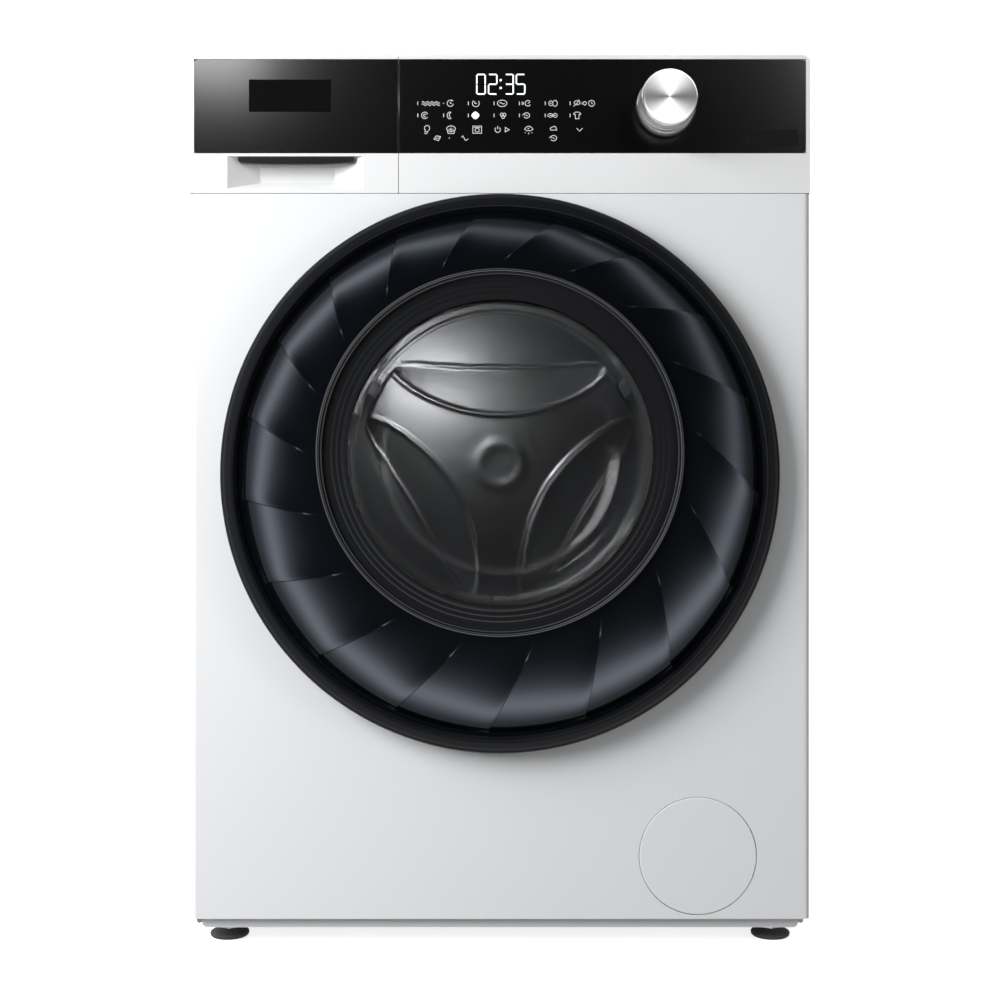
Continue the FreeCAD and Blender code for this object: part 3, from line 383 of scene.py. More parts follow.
# Display: the remaining time in lit seven-bar digits under the glass, drawn as thin bars on its
# face. Each digit leans on the same seven places, with a small gap where two bars meet.
lit_white = living_finish("display_lit_white", (0.85, 0.87, 0.9), (0.83, 0.85, 0.88), (0.4, 0.5),
                          drift=40.0,
                          grain=900.0, depth=0.005, Emission_Color=(0.93, 0.96, 1.0, 1),
                          Emission_Strength=0.85)
print_white = living_finish("pictogram_white", (0.62, 0.63, 0.65), (0.58, 0.59, 0.61), (0.45, 0.55),
                            drift=60.0,
                            grain=900.0, depth=0.005, Emission_Color=(0.93, 0.96, 1.0, 1),
                            Emission_Strength=0.16)
PRINT_Y = FRONT_Y - 0.08 * MM


def printed_prism(bm, outline):
    """Thin raised shape on the glass from an anticlockwise outline in millimetres."""
    front = [bm.verts.new((x * MM, PRINT_Y, z * MM)) for x, z in outline]
    back = [bm.verts.new((x * MM, FRONT_Y + 0.02 * MM, z * MM)) for x, z in outline]
    bm.faces.new(front)
    bm.faces.new(list(reversed(back)))
    for i in range(len(outline)):
        j = (i + 1) % len(outline)
        bm.faces.new((front[j], front[i], back[i], back[j]))


def stroke_edges(points, width, closed):
    """Left and right edges of a line of this width, mitred at its bends."""
    count = len(points)
    left, right = [], []
    for i, here in enumerate(points):
        before = points[i - 1] if i or closed else here
        after = points[(i + 1) % count] if i < count - 1 or closed else here
        run_in = Vector(here) - Vector(before)
        run_out = Vector(after) - Vector(here)
        run_in = run_in.normalized() if run_in.length else run_out.normalized()
        run_out = run_out.normalized() if run_out.length else run_in
        along = (run_in + run_out).normalized()
        side = Vector((-along.y, along.x)) * (width / 2) / max(0.5, along.dot(run_out))
        left.append(Vector(here) + side)
        right.append(Vector(here) - side)
    return left, right


def printed_stroke(bm, points, width, closed=False):
    left, right = stroke_edges(points, width, closed)
    last = len(points) if closed else len(points) - 1
    for i in range(last):
        j = (i + 1) % len(points)
        printed_prism(bm, [right[i], right[j], left[j], left[i]])


def seven_bar_digit(bm, digit, x0, x1, z0, z1, width=1.25):
    """Bars in the order top, upper right, lower right, bottom, lower left, upper left, middle."""
    lit = {0: "1111110", 2: "1101101", 3: "1111001", 5: "1011011"}[digit]
    gap = 0.45
    w = width / 2
    zm = (z0 + z1) / 2
    left, right, low, high = x0 + w, x1 - w, z0 + w, z1 - w
    bars = [((left + gap, high), (right - gap, high)), ((right, high - gap), (right, zm + gap)),
            ((right, zm - gap), (right, low + gap)), ((left + gap, low), (right - gap, low)),
            ((left, low + gap), (left, zm - gap)), ((left, zm + gap), (left, high - gap)),
            ((left + gap, zm), (right - gap, zm))]
    for state, bar in zip(lit, bars):
        if state == "1":
            printed_stroke(bm, bar, width)


def display_piece(name, bm, material):
    return fit(from_bmesh(name, bm, material, smooth=False), "cabinet", "display")


DIGIT_Z = (820.0, 840.0)      # millimetres over the floor
digits_bm = bmesh.new()
for digit, x_span in ((0, (-22.9, -13.6)), (2, (-11.6, -2.4)), (3, (4.6, 13.3)), (5, (15.1, 24.4))):
    seven_bar_digit(digits_bm, digit, *x_span, *DIGIT_Z)
for colon_z in (826.5, 833.9):
    low, high = colon_z - 0.95, colon_z + 0.95
    printed_prism(digits_bm, [(-0.3, low), (1.6, low), (1.6, high), (-0.3, high)])
display_piece("display_time_digits", digits_bm, lit_white)


# Pictograms: four rows of programme and option signs, printed in white line work. Each sign is
# a few strokes about its own middle, in millimetres.
def ring_path(cx, cz, rx, rz, start=0, end=360, steps=20):
    return [(cx + rx * math.cos(math.radians(start + (end - start) * i / steps)),
             cz + rz * math.sin(math.radians(start + (end - start) * i / steps))) for i in range(steps + 1)]


def wave_path(x0, x1, z, height, humps):
    steps = 8 * humps
    return [(x0 + (x1 - x0) * i / steps, z + height * math.sin(math.pi * 2 * humps * i / steps))
            for i in range(steps + 1)]


SIGNS = {
    "cycle": [ring_path(0, 0, 3.0, 3.0, 60, 350), [(1.2, 3.6), (1.4, 2.2), (2.9, 2.6)],
              [(0, 1.4), (0, 0), (1.3, 0)]],
    "clock": [ring_path(0, 0, 3.3, 3.3, 130, 400), [(-1.0, 2.2), (-1.0, -0.2), (1.2, -0.2)]],
    "basin": [ring_path(0, 0, 4.6, 3.1), wave_path(-2.4, 2.4, 0, 0.7, 1)],
    "shirt": [[(-3.6, 1.6), (-1.6, 3.2), (1.6, 3.2), (3.6, 1.6), (2.4, 0.4), (1.8, 0.8), (1.8, -3.2),
               (-1.8, -3.2),
               (-1.8, 0.8), (-2.4, 0.4), (-3.6, 1.6)]],
    "spiral": [ring_path(0, 0, 3.1, 3.1, 20, 330), ring_path(0.2, -0.2, 1.3, 1.3, 40, 300)],
    "crescent": [ring_path(-0.4, 0, 2.6, 3.2, 60, 300), ring_path(0.9, 0.2, 1.9, 2.4, 110, 250)],
    "twin": [ring_path(-2.0, 0, 2.0, 2.3), ring_path(2.0, 0, 2.2, 2.9), [(-2.8, 0), (-1.2, 0)]],
    "dial": [[(-4.2, -1.6), (-4.2, 1.6)], [(-2.9, -1.2), (-2.9, 1.2)], ring_path(1.3, 0, 2.7, 2.7, 40, 330),
             [(1.3, 0), (3.2, 1.0)]],
    "leaf": [[(-3.0, -3.0), (0.4, 0.2)], ring_path(0.4, 0.6, 2.8, 2.0, 30, 390), [(0.4, 0.2), (2.6, 3.4)]],
    "flower": [ring_path(1.4 * math.cos(a), 1.4 * math.sin(a), 1.5, 1.5) for a in (0.5, 2.6, 4.7)],
    "timer": [ring_path(0, 0, 2.9, 2.9), [(0, 1.6), (0, 0), (1.2, -0.8)]],
    "small": [ring_path(0, 0, 1.5, 1.7), [(-2.6, -1.2), (-2.6, 1.2)]],
    "link": [ring_path(-2.2, 0, 2.4, 1.7), ring_path(2.5, 0, 1.9, 1.9), [(-3.0, 0), (3.0, 0)]],
    "bucket": [[(-2.6, 3.0), (-2.0, -3.0), (2.0, -3.0), (2.6, 3.0), (-2.6, 3.0)],
               [(-1.6, 0.6), (1.6, 0.6)]],
    "lamp": [ring_path(0.4, 1.4, 2.5, 2.6, -60, 240), [(-2.2, -2.0), (1.4, -2.0)],
             [(-2.0, -3.6), (0.8, -3.6)]],
    "wardrobe": [ring_path(0, 1.0, 4.2, 2.6), [(-3.4, -0.8), (-2.8, -3.6), (2.8, -3.6), (3.4, -0.8)],
                 [(0, 1.8), (0, -2.6)], [(-2.2, 0.4), (2.2, 0.4)]],
    "drum": [[(-4.2, -3.4), (4.2, -3.4), (4.2, 3.4), (-4.2, 3.4), (-4.2, -3.4)],
             ring_path(0, -0.4, 2.0, 1.8),
             [(-3.0, 2.1), (3.0, 2.1)]],
    "power": [ring_path(0, 0, 2.6, 2.6, 130, 410), [(0, 0.6), (0, 3.5)]],
    "play": [[(-1.6, -2.2), (2.2, 0), (-1.6, 2.2), (-1.6, -2.2)]],
    "snow": [[(-4.0, 0.4), (-2.0, 2.6), (0.2, 3.4), (2.4, 2.4), (4.2, 0.4), (1.8, -1.0), (-1.8, -1.0),
              (-4.0, 0.4)],
             [(-0.9, 0.4), (0.6, 1.6)], [(-3.0, -2.4), (-3.4, -3.2)], [(0, -3.0), (0, -4.4)],
             [(3.0, -2.4), (3.4, -3.2)]],
    "cloud": [[(-3.0, -1.2)] + ring_path(-1.6, 0, 1.5, 1.5, 200, 90, 6) + ring_path(0.7, 0.5, 1.7, 1.9, 120,
                                                                                    0, 6)
              + [(3.0, -1.2), (-3.0, -1.2)]],
    "return": [ring_path(0, 0, 2.9, 2.6, -150, 160), [(-3.9, 0.2), (-2.7, 1.4), (-1.6, 0.2)],
               [(-1.0, 0.6), (1.0, -0.6)]],
    "down": [[(-2.8, 1.4), (0, -1.4), (2.8, 1.4)]],
    "tilted": [[(-3.2, -1.0), (-1.0, 2.2), (3.2, 1.4), (1.2, -2.4), (-3.2, -1.0)],
               [(-1.6, -0.2), (1.8, 0.2)]],
    "point": [[(-0.3, -0.5), (0.3, 0.5)]],
    "worm": [[(-3.3, 0.6), (-1.9, 2.2), (-0.9, 0.4), (0.2, -2.0), (1.6, -1.9), (3.4, -0.6)]],
    "ripple": [wave_path(-8.6, 8.6, 0.9, 0.9, 4), wave_path(-8.6, 8.6, -1.3, 0.9, 4)],
}
SIGN_ROWS = (
    (811.7, (("ripple", -66.4), ("point", -54.1), ("cycle", -47.7), ("clock", -23.2), ("basin", 2.0),
             ("dial", 25.5),
             ("twin", 50.8), ("leaf", 73.6), ("small", 81.4), ("timer", 87.9))),
    (800.1, (("spiral", -72.2), ("crescent", -47.7), ("flower", 3.0), ("return", 25.5), ("link", 50.5),
             ("shirt", 74.1))),
    (786.4, (("lamp", -70.4), ("wardrobe", -47.0), ("drum", -21.9), ("power", -2.2), ("play", 6.6), ("snow",
                                                                                                     27.5),
             ("down", 76.4))),
    (787.2, (("cloud", 51.4),)),
    (778.3, (("tilted", -60.2), ("point", -48.6), ("worm", -33.7), ("return", 51.4))),
)
signs_bm = bmesh.new()
for row_z, row in SIGN_ROWS:
    for sign, sign_x in row:
        for path in SIGNS[sign]:
            closed = len(path) > 3 and (Vector(path[0]) - Vector(path[-1])).length < 1e-4
            points = [(sign_x + x, row_z + z) for x, z in (path[:-1] if closed else path)]
            printed_stroke(signs_bm, points, 0.58, closed)
display_piece("programme_pictograms", signs_bm, print_white)

# Selection marks: a tiny bar before each programme sign, and a filled blossom for the programme
# that is chosen now.
marks_bm = bmesh.new()
for mark_z in (811.7, 800.1):
    for mark_x in (-78.9, -30.4, -5.7, 18.6, 43.4, 67.3) + ((-54.1,) if mark_z < 805 else ()):
        printed_stroke(marks_bm, [(mark_x, mark_z - 1.7), (mark_x, mark_z + 1.7)], 0.7)
display_piece("selection_marks", marks_bm, print_white)
chosen_bm = bmesh.new()
printed_prism(chosen_bm, [(-23.6 + 3.7 * math.cos(a) * (1 - 0.12 * math.sin(2 * a) ** 2),
                           800.1 + 3.6 * math.sin(a) * (1 - 0.12 * math.sin(2 * a) ** 2))
                          for a in (2 * math.pi * i / 32 for i in range(32))])
display_piece("chosen_programme_sign", chosen_bm, lit_white)

# Blank plates on the glass: a dark self-adhesive plate on the drawer and a small lighter one at
# the right end of the console. Both are thin satin foil with nothing on them.
plate_foil = living_finish("blank_plate_foil", (0.004, 0.004, 0.0045), (0.006, 0.006, 0.0065), (0.16, 0.2),
                           drift=20.0,
                           grain=2200.0, depth=0.002, Specular_IOR_Level=0.12)
label_foil = living_finish("blank_label_foil", (0.012, 0.012, 0.013), (0.016, 0.016, 0.017), (0.16, 0.2),
                           drift=30.0,
                           grain=2200.0, depth=0.002, Specular_IOR_Level=0.25)
FOIL = 0.3 * MM


def foil_plate(name, x, z, corner, foil, body):
    outline = rounded_outline(x[0], x[1], z[0], z[1], (corner,) * 4, steps=5)
    plate = plate_from_outline(name, outline, FRONT_Y - FOIL, FRONT_Y, 0.15 * MM, foil, edge_steps=2)
    return fit(plate, body, "display")


foil_plate("drawer_blank_plate", (-0.241, -0.162), (0.8035, 0.8345), 0.8 * MM, plate_foil, "drawer")
foil_plate("console_blank_label", (0.236, 0.286), (0.7707, 0.7862), 2.0 * MM, label_foil, "cabinet")

# Drawer grip: a black finger lip moulded separately and clipped under the top of the handle
# recess. Its lower edge bows down in the middle.
grip_low, grip_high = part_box("drawer_grip")
grip_plastic = living_finish("grip_black_plastic", (0.012, 0.012, 0.013), (0.02, 0.02, 0.021), (0.25, 0.33),
                             drift=18.0, grain=1500.0, depth=0.02)


def drawer_grip_outline(steps=24):
    """Top edge straight, lower edge bowed, ends drawn in."""
    low_end = grip_high.z - 5.5 * MM
    bow = 2.0 * MM
    half = (grip_high.x - grip_low.x) / 2
    middle = (grip_high.x + grip_low.x) / 2
    outline = []
    for step in range(steps + 1):
        u = -1 + 2 * step / steps
        outline.append((middle + (half - 1.5 * MM) * u, low_end - bow * (1 - u ** 4)))
    outline.append((grip_high.x, low_end + 2 * MM))
    outline.append((grip_high.x, grip_high.z))
    outline.append((grip_low.x, grip_high.z))
    outline.append((grip_low.x, low_end + 2 * MM))
    return outline


drawer_grip = plate_from_outline("drawer_grip_lip", drawer_grip_outline(), grip_low.y, grip_high.y,
                                 1.2 * MM,
                                 grip_plastic)
fit(drawer_grip, "drawer", "black_plastic", "drawer_grip")

# Programme knob: a deep-drawn aluminium cap with spun rings on its face and a radial fan painted into its
# colour, light above and below as painted highlight and dark at the sides as painted shade, with a
# diamond-cut bright rim and a groove round its side, on a chromed skirt.
knob_low, knob_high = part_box("knob_cap")
skirt_low, skirt_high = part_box("knob_skirt")
KNOB_X = (knob_low.x + knob_high.x) / 2
KNOB_Z = (knob_low.z + knob_high.z) / 2


def turned_faces(bm, loops):
    """Faces between each loop of points and the next. A loop of one point is a pole."""
    for a, b in zip(loops, loops[1:]):
        if len(a) + len(b) == 2:
            continue
        for i in range(max(len(a), len(b))):
            j = (i + 1) % max(len(a), len(b))
            if len(a) == 1:
                bm.faces.new((a[0], b[i], b[j]))
            elif len(b) == 1:
                bm.faces.new((a[i], b[0], a[j]))
            else:
                bm.faces.new((a[i], b[i], b[j], a[j]))


def turned_piece(name, profile, x, z, material, segments=96, closed=False):
    """Turns (radius, y) points about a front-to-back axis. A radius of zero closes an end."""
    bm = bmesh.new()
    rings = []
    for r, y in profile:
        turns = [2 * math.pi * i / segments for i in range(segments)] if r > 1e-6 else [0.0]
        rings.append([bm.verts.new((x + r * math.cos(a), y, z + r * math.sin(a))) for a in turns])
    turned_faces(bm, rings + rings[:1] if closed else rings)
    piece = from_bmesh(name, bm, material)
    piece.data.set_sharp_from_angle(angle=math.radians(35))
    return piece


def near(r, y, steps):
    """Profile points, given in millimetres from a radius and depth."""
    return [(r + dr * MM, y + dy * MM) for dr, dy in steps]


def spun_rings_and_painted_fan_group():
    """Fine turning rings about the knob's axis, and a painted highlight fan: near 1 above and below the
    axis and near 0 at its sides.
    """
    group, inp, out = new_group("spun_rings_and_painted_fan", [("Centre", "Vector"), ("Pitch", "Float", 4200.0)],
                                [("Streak", "Float"), ("Height", "Float")])
    link = group.links.new
    offset = vector_math(group, "SUBTRACT", object_place(group), inp.outputs["Centre"])
    apart = add_node(group, "SeparateXYZ")
    link(offset.outputs[0], apart.inputs[0])
    x, z = apart.outputs[0], apart.outputs[2]
    radius = math_node(group, "SQRT", math_node(group, "ADD", math_node(group, "MULTIPLY", x, x),
                                                math_node(group, "MULTIPLY", z, z)))
    angle = math_node(group, "ARCTAN2", z, x)
    fan = math_node(group, "ABSOLUTE", math_node(group, "SINE", angle))
    painted_fan = math_node(group, "POWER", fan, 1.7)
    ring_noise = add_node(group, "TexNoise", noise_dimensions="1D", in_3=3.0)
    link(math_node(group, "MULTIPLY", radius, inp.outputs["Pitch"]), ring_noise.inputs["W"])
    ring_noise.inputs["Scale"].default_value = 1.0
    link(painted_fan, out.inputs["Streak"])
    link(ring_noise.outputs["Fac"], out.inputs["Height"])
    return group


def knob_face_finish():
    material = new_finish("spun_aluminium_painted_fan", (0.80, 0.81, 0.82), 0.28, 0.55, Anisotropic=0.6)
    spun = use_group(material, spun_rings_and_painted_fan_group(), Centre=(KNOB_X, 0, KNOB_Z))
    tree = material.node_tree
    shader = tree.nodes["Principled BSDF"]
    # Painted highlight and painted shade: the tone is near white where the fan is high, above and below the
    # axis, and dark grey at the sides.
    tone = add_node(tree, "Mix", data_type="RGBA", in_6=(0.13, 0.13, 0.135, 1), in_7=(0.95, 0.95, 0.96, 1))
    gloss = add_node(tree, "MapRange", in_3=0.24, in_4=0.36)
    tree.links.new(spun.outputs["Streak"], tone.inputs[0])
    tree.links.new(spun.outputs["Height"], gloss.inputs[0])
    tree.links.new(tone.outputs[2], shader.inputs["Base Color"])
    tree.links.new(gloss.outputs[0], shader.inputs["Roughness"])
    bump_from(material, spun.outputs["Height"], 0.03 * MM)
    return material


chrome = living_finish("polished_chrome", (0.78, 0.79, 0.80), (0.74, 0.75, 0.77), (0.05, 0.09),
                       metallic=1.0,
                       drift=25.0, grain=400.0, depth=0.002)
knob_metal = knob_face_finish()
CAP_R = (knob_high.x - knob_low.x) / 2
face_y = knob_low.y
cap_back_y = knob_high.y
groove_y = face_y + 0.66 * (cap_back_y - face_y)
cap_profile = [(0, face_y + 0.5 * MM)]
cap_profile += near(CAP_R, face_y,
                    [(-4.4, 0.35), (-3.2, 0.2), (-2.6, 0), (-1.5, 0.3), (-0.9, 1.4), (-0.7, 2.4)])
cap_profile += near(CAP_R, groove_y, [(-0.3, -0.8), (-1.1, -0.5), (-1.1, 0.5), (-0.2, 0.8)])
cap_profile += [(CAP_R, cap_back_y), (0, cap_back_y)]
knob_cap = turned_piece("knob_spun_cap", cap_profile, KNOB_X, KNOB_Z, knob_metal)
knob_cap.data.materials.append(chrome)
for polygon in knob_cap.data.polygons:
    reach = math.hypot(polygon.center.x - KNOB_X, polygon.center.z - KNOB_Z)
    if CAP_R - 2.0 * MM < reach and polygon.center.y < face_y + 2.0 * MM:
        polygon.material_index = 1
fit(knob_cap, "knob", "knob_aluminium", "knob_cap")

SKIRT_R = (skirt_high.x - skirt_low.x) / 2
skirt_back_y = FRONT_Y - 0.5 * MM
skirt_profile = [(0, cap_back_y)] + near(CAP_R, cap_back_y, [(0.5, 0), (0.9, 0.8)])
skirt_profile += near(SKIRT_R, cap_back_y, [(-0.6, 4), (0, 6)]) + near(SKIRT_R, skirt_back_y,
                                                                       [(0, -0.6), (-0.5, 0)])
skirt_profile += [(3 * MM, skirt_back_y), (3 * MM, FRONT_Y + 14 * MM), (0, FRONT_Y + 14 * MM)]
knob_skirt = turned_piece("knob_chrome_skirt", skirt_profile, KNOB_X, KNOB_Z, chrome)
fit(knob_skirt, "knob", "chrome", "knob_skirt")

# Door bezel: a dark satin moulded ring with a smooth flange, a raised lip, and a step down to
# the vanes. Its back is notched at the hinge, so the arm can pass when the door opens.
bezel_low, bezel_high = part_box("door_bezel")
trim_low, trim_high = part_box("window_trim")
DOOR_Z = (bezel_low.z + bezel_high.z) / 2
DOOR_R = (bezel_high.z - bezel_low.z) / 2
AXIS_Z = (trim_low.z + trim_high.z) / 2
WINDOW_R = (trim_high.z - trim_low.z) / 2
LIP_Y = bezel_low.y
LIP_R = DOOR_R - 13 * MM
SEAT_R = DOOR_R - 17 * MM
pin_low, pin_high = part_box("hinge_pin")

bezel_plastic = living_finish("satin_bezel_plastic", (0.006, 0.0065, 0.0075), (0.008, 0.0085, 0.01),
                              (0.26, 0.34),
                              drift=7.0, grain=1500.0, depth=0.012, Specular_IOR_Level=0.16)


def arc_points(cx, cy, r, start, end, steps):
    """Points on an arc, angles in degrees."""
    return [(cx + r * math.cos(math.radians(start + (end - start) * i / steps)),
             cy + r * math.sin(math.radians(start + (end - start) * i / steps))) for i in range(steps + 1)]


def cut_with_box(piece, low, high):
    """Mills a square pocket out of a piece."""
    bm = bmesh.new()
    size = [b - a for a, b in zip(low, high)]
    middle = [(a + b) / 2 for a, b in zip(low, high)]
    bmesh.ops.create_cube(bm, size=1.0, matrix=Matrix.Translation(middle) @ Matrix.Diagonal((*size, 1.0)))
    cutter = from_bmesh("cutter", bm, piece.data.materials[0], smooth=False)
    mill = piece.modifiers.new("mill", "BOOLEAN")
    mill.object = cutter
    mill.operation = "DIFFERENCE"
    mill.solver = "EXACT"
    bpy.context.view_layer.update()
    milled = bpy.data.meshes.new_from_object(piece.evaluated_get(bpy.context.evaluated_depsgraph_get()))
    piece.modifiers.clear()
    piece.data = milled
    bpy.data.objects.remove(cutter)
    milled.set_sharp_from_angle(angle=math.radians(35))


hinge_x = (pin_low.x + pin_high.x) / 2
notch_low = (hinge_x - 6 * MM, FRONT_Y - 15.2 * MM, pin_low.z - 6 * MM)
notch_high = (hinge_x + 20 * MM, FRONT_Y + 1 * MM, pin_high.z + 6 * MM)
bezel_profile = [(SEAT_R, bezel_high.y), (DOOR_R - 8 * MM, bezel_high.y)]
bezel_profile += near(DOOR_R, LIP_Y,
                      [(-0.4, 16.5), (0, 11), (-0.3, 8), (-1.0, 4.8), (-2.2, 2.5), (-3.8, 1.4),
                                      (-6.5, 0.75), (-10.8, 0.3)])
bezel_profile += near(LIP_R, LIP_Y, [(0.8, 0), (0, 0.1), (-0.8, 0.8), (-1.4, 2.2)])
bezel_profile += [(SEAT_R, LIP_Y + 5.5 * MM)]
door_bezel = turned_piece("door_bezel_ring", bezel_profile, 0.0, DOOR_Z, bezel_plastic, segments=180,
                          closed=True)
cut_with_box(door_bezel, notch_low, notch_high)
fit(door_bezel, "door", "bezel_dark", "door_bezel")

# Vane ring: one glossy blue-black moulding between the bezel and the window. Eighteen vanes
# are spaced evenly about a point off the middle, each rises to a crest and drops sharply, and
# they sweep round and fade out towards the window.
VANES = 18
FIRST_VANE = 91.5
VANE_DRIFT = 6.5              # degrees of uneven spacing
VANE_DRIFT_FROM = 130.0
VANE_SWEEP = 14.0             # degrees a crest turns from rim to fade-out
VANE_RISE = 4.0 * MM
RING_ROOT_R = DOOR_R - 23.5 * MM
RING_ROOT_Y = LIP_Y + 5.0 * MM
RING_TOP_Y = FRONT_Y - 43.0 * MM
RING_CROWN = ((0.95, 0.38), (0.117, 0.015))   # shares of the rise, each with how far in it fades
CREST_DROP = 0.22             # degrees taken by the sharp drop behind a crest

vane_plastic = living_finish("vane_gloss_plastic", (0.0020, 0.0025, 0.0038), (0.0028, 0.0034, 0.005),
                             (0.17, 0.22),
                             drift=6.0, grain=1200.0, depth=0.006, Coat_Weight=0.25, Coat_Roughness=0.14,
                             Specular_IOR_Level=0.55, Specular_Tint=(0.70, 0.81, 1.0, 1))


def crest_angle(k, inward):
    """Angle of crest k in degrees, at this share of the way in from rim to window."""
    even = FIRST_VANE + 360.0 / VANES * k
    start = even - VANE_DRIFT * math.sin(math.radians(even - VANE_DRIFT_FROM))
    return start + VANE_SWEEP * inward ** 1.15


def smooth_step(t):
    t = min(1.0, max(0.0, t))
    return t * t * (3 - 2 * t)


def ring_place(angle, inward):
    """Point of the plain crowned ring, which is steep at the rim and level at the window."""
    a = math.radians(angle)
    outer = Vector((RING_ROOT_R * math.cos(a), 0, DOOR_Z + RING_ROOT_R * math.sin(a)))
    inner = Vector((WINDOW_R * math.cos(a), 0, AXIS_Z + WINDOW_R * math.sin(a)))
    place = outer.lerp(inner, inward)
    share = sum(part * (1 - math.exp(-inward / reach)) for part, reach in RING_CROWN)
    place.y = RING_ROOT_Y + (RING_TOP_Y - RING_ROOT_Y) * share
    return place


def vane_height(u, inward):
    """Rise of a vane over the cone at this share of the way from one crest to the next."""
    fade = 1 - smooth_step(inward / 0.95)
    rounded_off = 1 - 0.10 * smooth_step((u - 0.955) / 0.045)
    return VANE_RISE * fade * u ** 3 * rounded_off


def vane_ring_mesh():
    across = [0.0, 0.012, 0.03, 0.07, 0.14, 0.24, 0.36, 0.48, 0.6, 0.72, 0.82, 0.9, 0.95, 0.98, 1.0]
    inward_steps = [0.0, 0.01, 0.03] + [0.06 + 0.94 * i / 26 for i in range(27)]
    bm = bmesh.new()
    rows = []
    for inward in inward_steps:
        row = []
        for k in range(VANES):
            start = crest_angle(k, inward) + CREST_DROP
            end = crest_angle(k + 1, inward) if k < VANES - 1 else crest_angle(0, inward) + 360
            for u in across:
                place = ring_place(start + (end - start) * u, inward)
                place.y -= vane_height(u, inward)
                row.append(bm.verts.new(place))
        rows.append(row)
    rim_y, rim_scale = RING_ROOT_Y + 2.5 * MM, 1.012
    seat_scale = SEAT_R * 0.9995 / (RING_ROOT_R * rim_scale)
    bore_y, bore_scale = RING_TOP_Y + 4 * MM, (WINDOW_R - 5.2 * MM) / WINDOW_R

    def moved(loop, y, scale=1.0, middle_z=DOOR_Z):
        """A copy of a loop at another depth, scaled about the axis."""
        return [bm.verts.new((v.co.x * scale, y, middle_z + (v.co.z - middle_z) * scale)) for v in loop]

    rim = moved(rows[0], rim_y, rim_scale)
    wall = moved(rim, rim_y, seat_scale)
    back = moved(wall, FRONT_Y - 7 * MM)
    window_wall = moved(rows[-1], bore_y)
    bore = moved(window_wall, bore_y, bore_scale, AXIS_Z)
    bore_back = moved(bore, FRONT_Y - 12.2 * MM)
    skin_loops(bm, [back, wall, rim] + rows + [window_wall, bore, bore_back, back])
    return bm


vane_ring = from_bmesh("door_vane_ring_moulding", vane_ring_mesh(), vane_plastic)
vane_ring.data.set_sharp_from_angle(angle=math.radians(32))
fit(vane_ring, "door", "vane_dark", "door_vane_ring")

# Window trim: a thin black ring round the pane, with two polished beads that catch the light as
# bright rings.
TRIM_Y = trim_low.y
trim_black = living_finish("trim_gloss_black", (0.010, 0.011, 0.013), (0.014, 0.015, 0.018), (0.08, 0.12),
                           drift=8.0,
                           grain=900.0, depth=0.003, Coat_Weight=0.8, Coat_Roughness=0.04)
pane_low, pane_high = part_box("window_pane")
trim_profile = [(WINDOW_R - 5.7 * MM, trim_high.y), (WINDOW_R - 5.7 * MM, TRIM_Y + 2.4 * MM)]
trim_profile += arc_points(WINDOW_R - 5.0 * MM, TRIM_Y + 2.2 * MM, 0.7 * MM, 180, 360, 8)
trim_profile += [(WINDOW_R - 3.6 * MM, TRIM_Y + 2.6 * MM)]
trim_profile += arc_points(WINDOW_R - 1.7 * MM, TRIM_Y + 1.7 * MM, 1.7 * MM, 180, 360, 12)
trim_profile += [(WINDOW_R, trim_high.y)]
window_trim = turned_piece("window_trim_ring", trim_profile, 0.0, AXIS_Z, trim_black, segments=180,
                           closed=True)
fit(window_trim, "door", "vane_dark", "window_trim")

# Window pane: 3 mm smoked glass, slightly crowned. A black printed band hides where the bowl
# is clamped, and inside it the glass is only tinted, so that the drum shows dimly.
BAND_IN_R = WINDOW_R - 29.0 * MM


printed_band = living_finish("printed_black_band", (0.010, 0.0105, 0.012), (0.015, 0.0155, 0.017),
                             (0.05, 0.09),
                             drift=6.0, grain=300.0, depth=0.001, Coat_Weight=0.8, Coat_Roughness=0.03)
smoked_glass = new_finish("smoked_glass", (0.50, 0.50, 0.505), 0.015, Transmission_Weight=1.0, IOR=1.46)
PANE_CROWN = 2.6 * MM
pane_r = (pane_high.x - pane_low.x) / 2


def pane_face(share, sink=0.0, at=None):
    """Point of the crowned face at a share of the radius, sunk from the crown there or at a share."""
    return (pane_r * share, pane_low.y - PANE_CROWN * (1 - (share if at is None else at) ** 2) + sink * MM)


pane_profile = [pane_face(share) for share in (0, 0.2, 0.4, 0.55, 0.68, 0.78, 0.86, BAND_IN_R / pane_r)]
for groove in (0.895, 0.925, 0.955):
    pane_profile += [pane_face(groove + step, sink, groove)
                     for step, sink in ((-0.008, 0.0), (-0.003, 0.3), (0.003, 0.3), (0.008, 0.0))]
pane_profile += [pane_face(0.985)]
pane_profile += [(pane_r, pane_low.y + 0.3 * MM), (pane_r, pane_high.y)]
pane_profile += [(BAND_IN_R, pane_high.y - 0.5 * MM), (pane_r * 0.7, pane_high.y - 1.2 * MM),
                 (pane_r * 0.35, pane_high.y - 2.0 * MM), (0, pane_high.y - 2.4 * MM)]
window_pane = turned_piece("window_smoked_pane", pane_profile, 0.0, AXIS_Z, smoked_glass, segments=160)
window_pane.data.materials.append(printed_band)
for polygon in window_pane.data.polygons:
    if math.hypot(polygon.center.x, polygon.center.z - AXIS_Z) > BAND_IN_R:
        polygon.material_index = 1
fit(window_pane, "door", "tinted_glass", "window_pane")

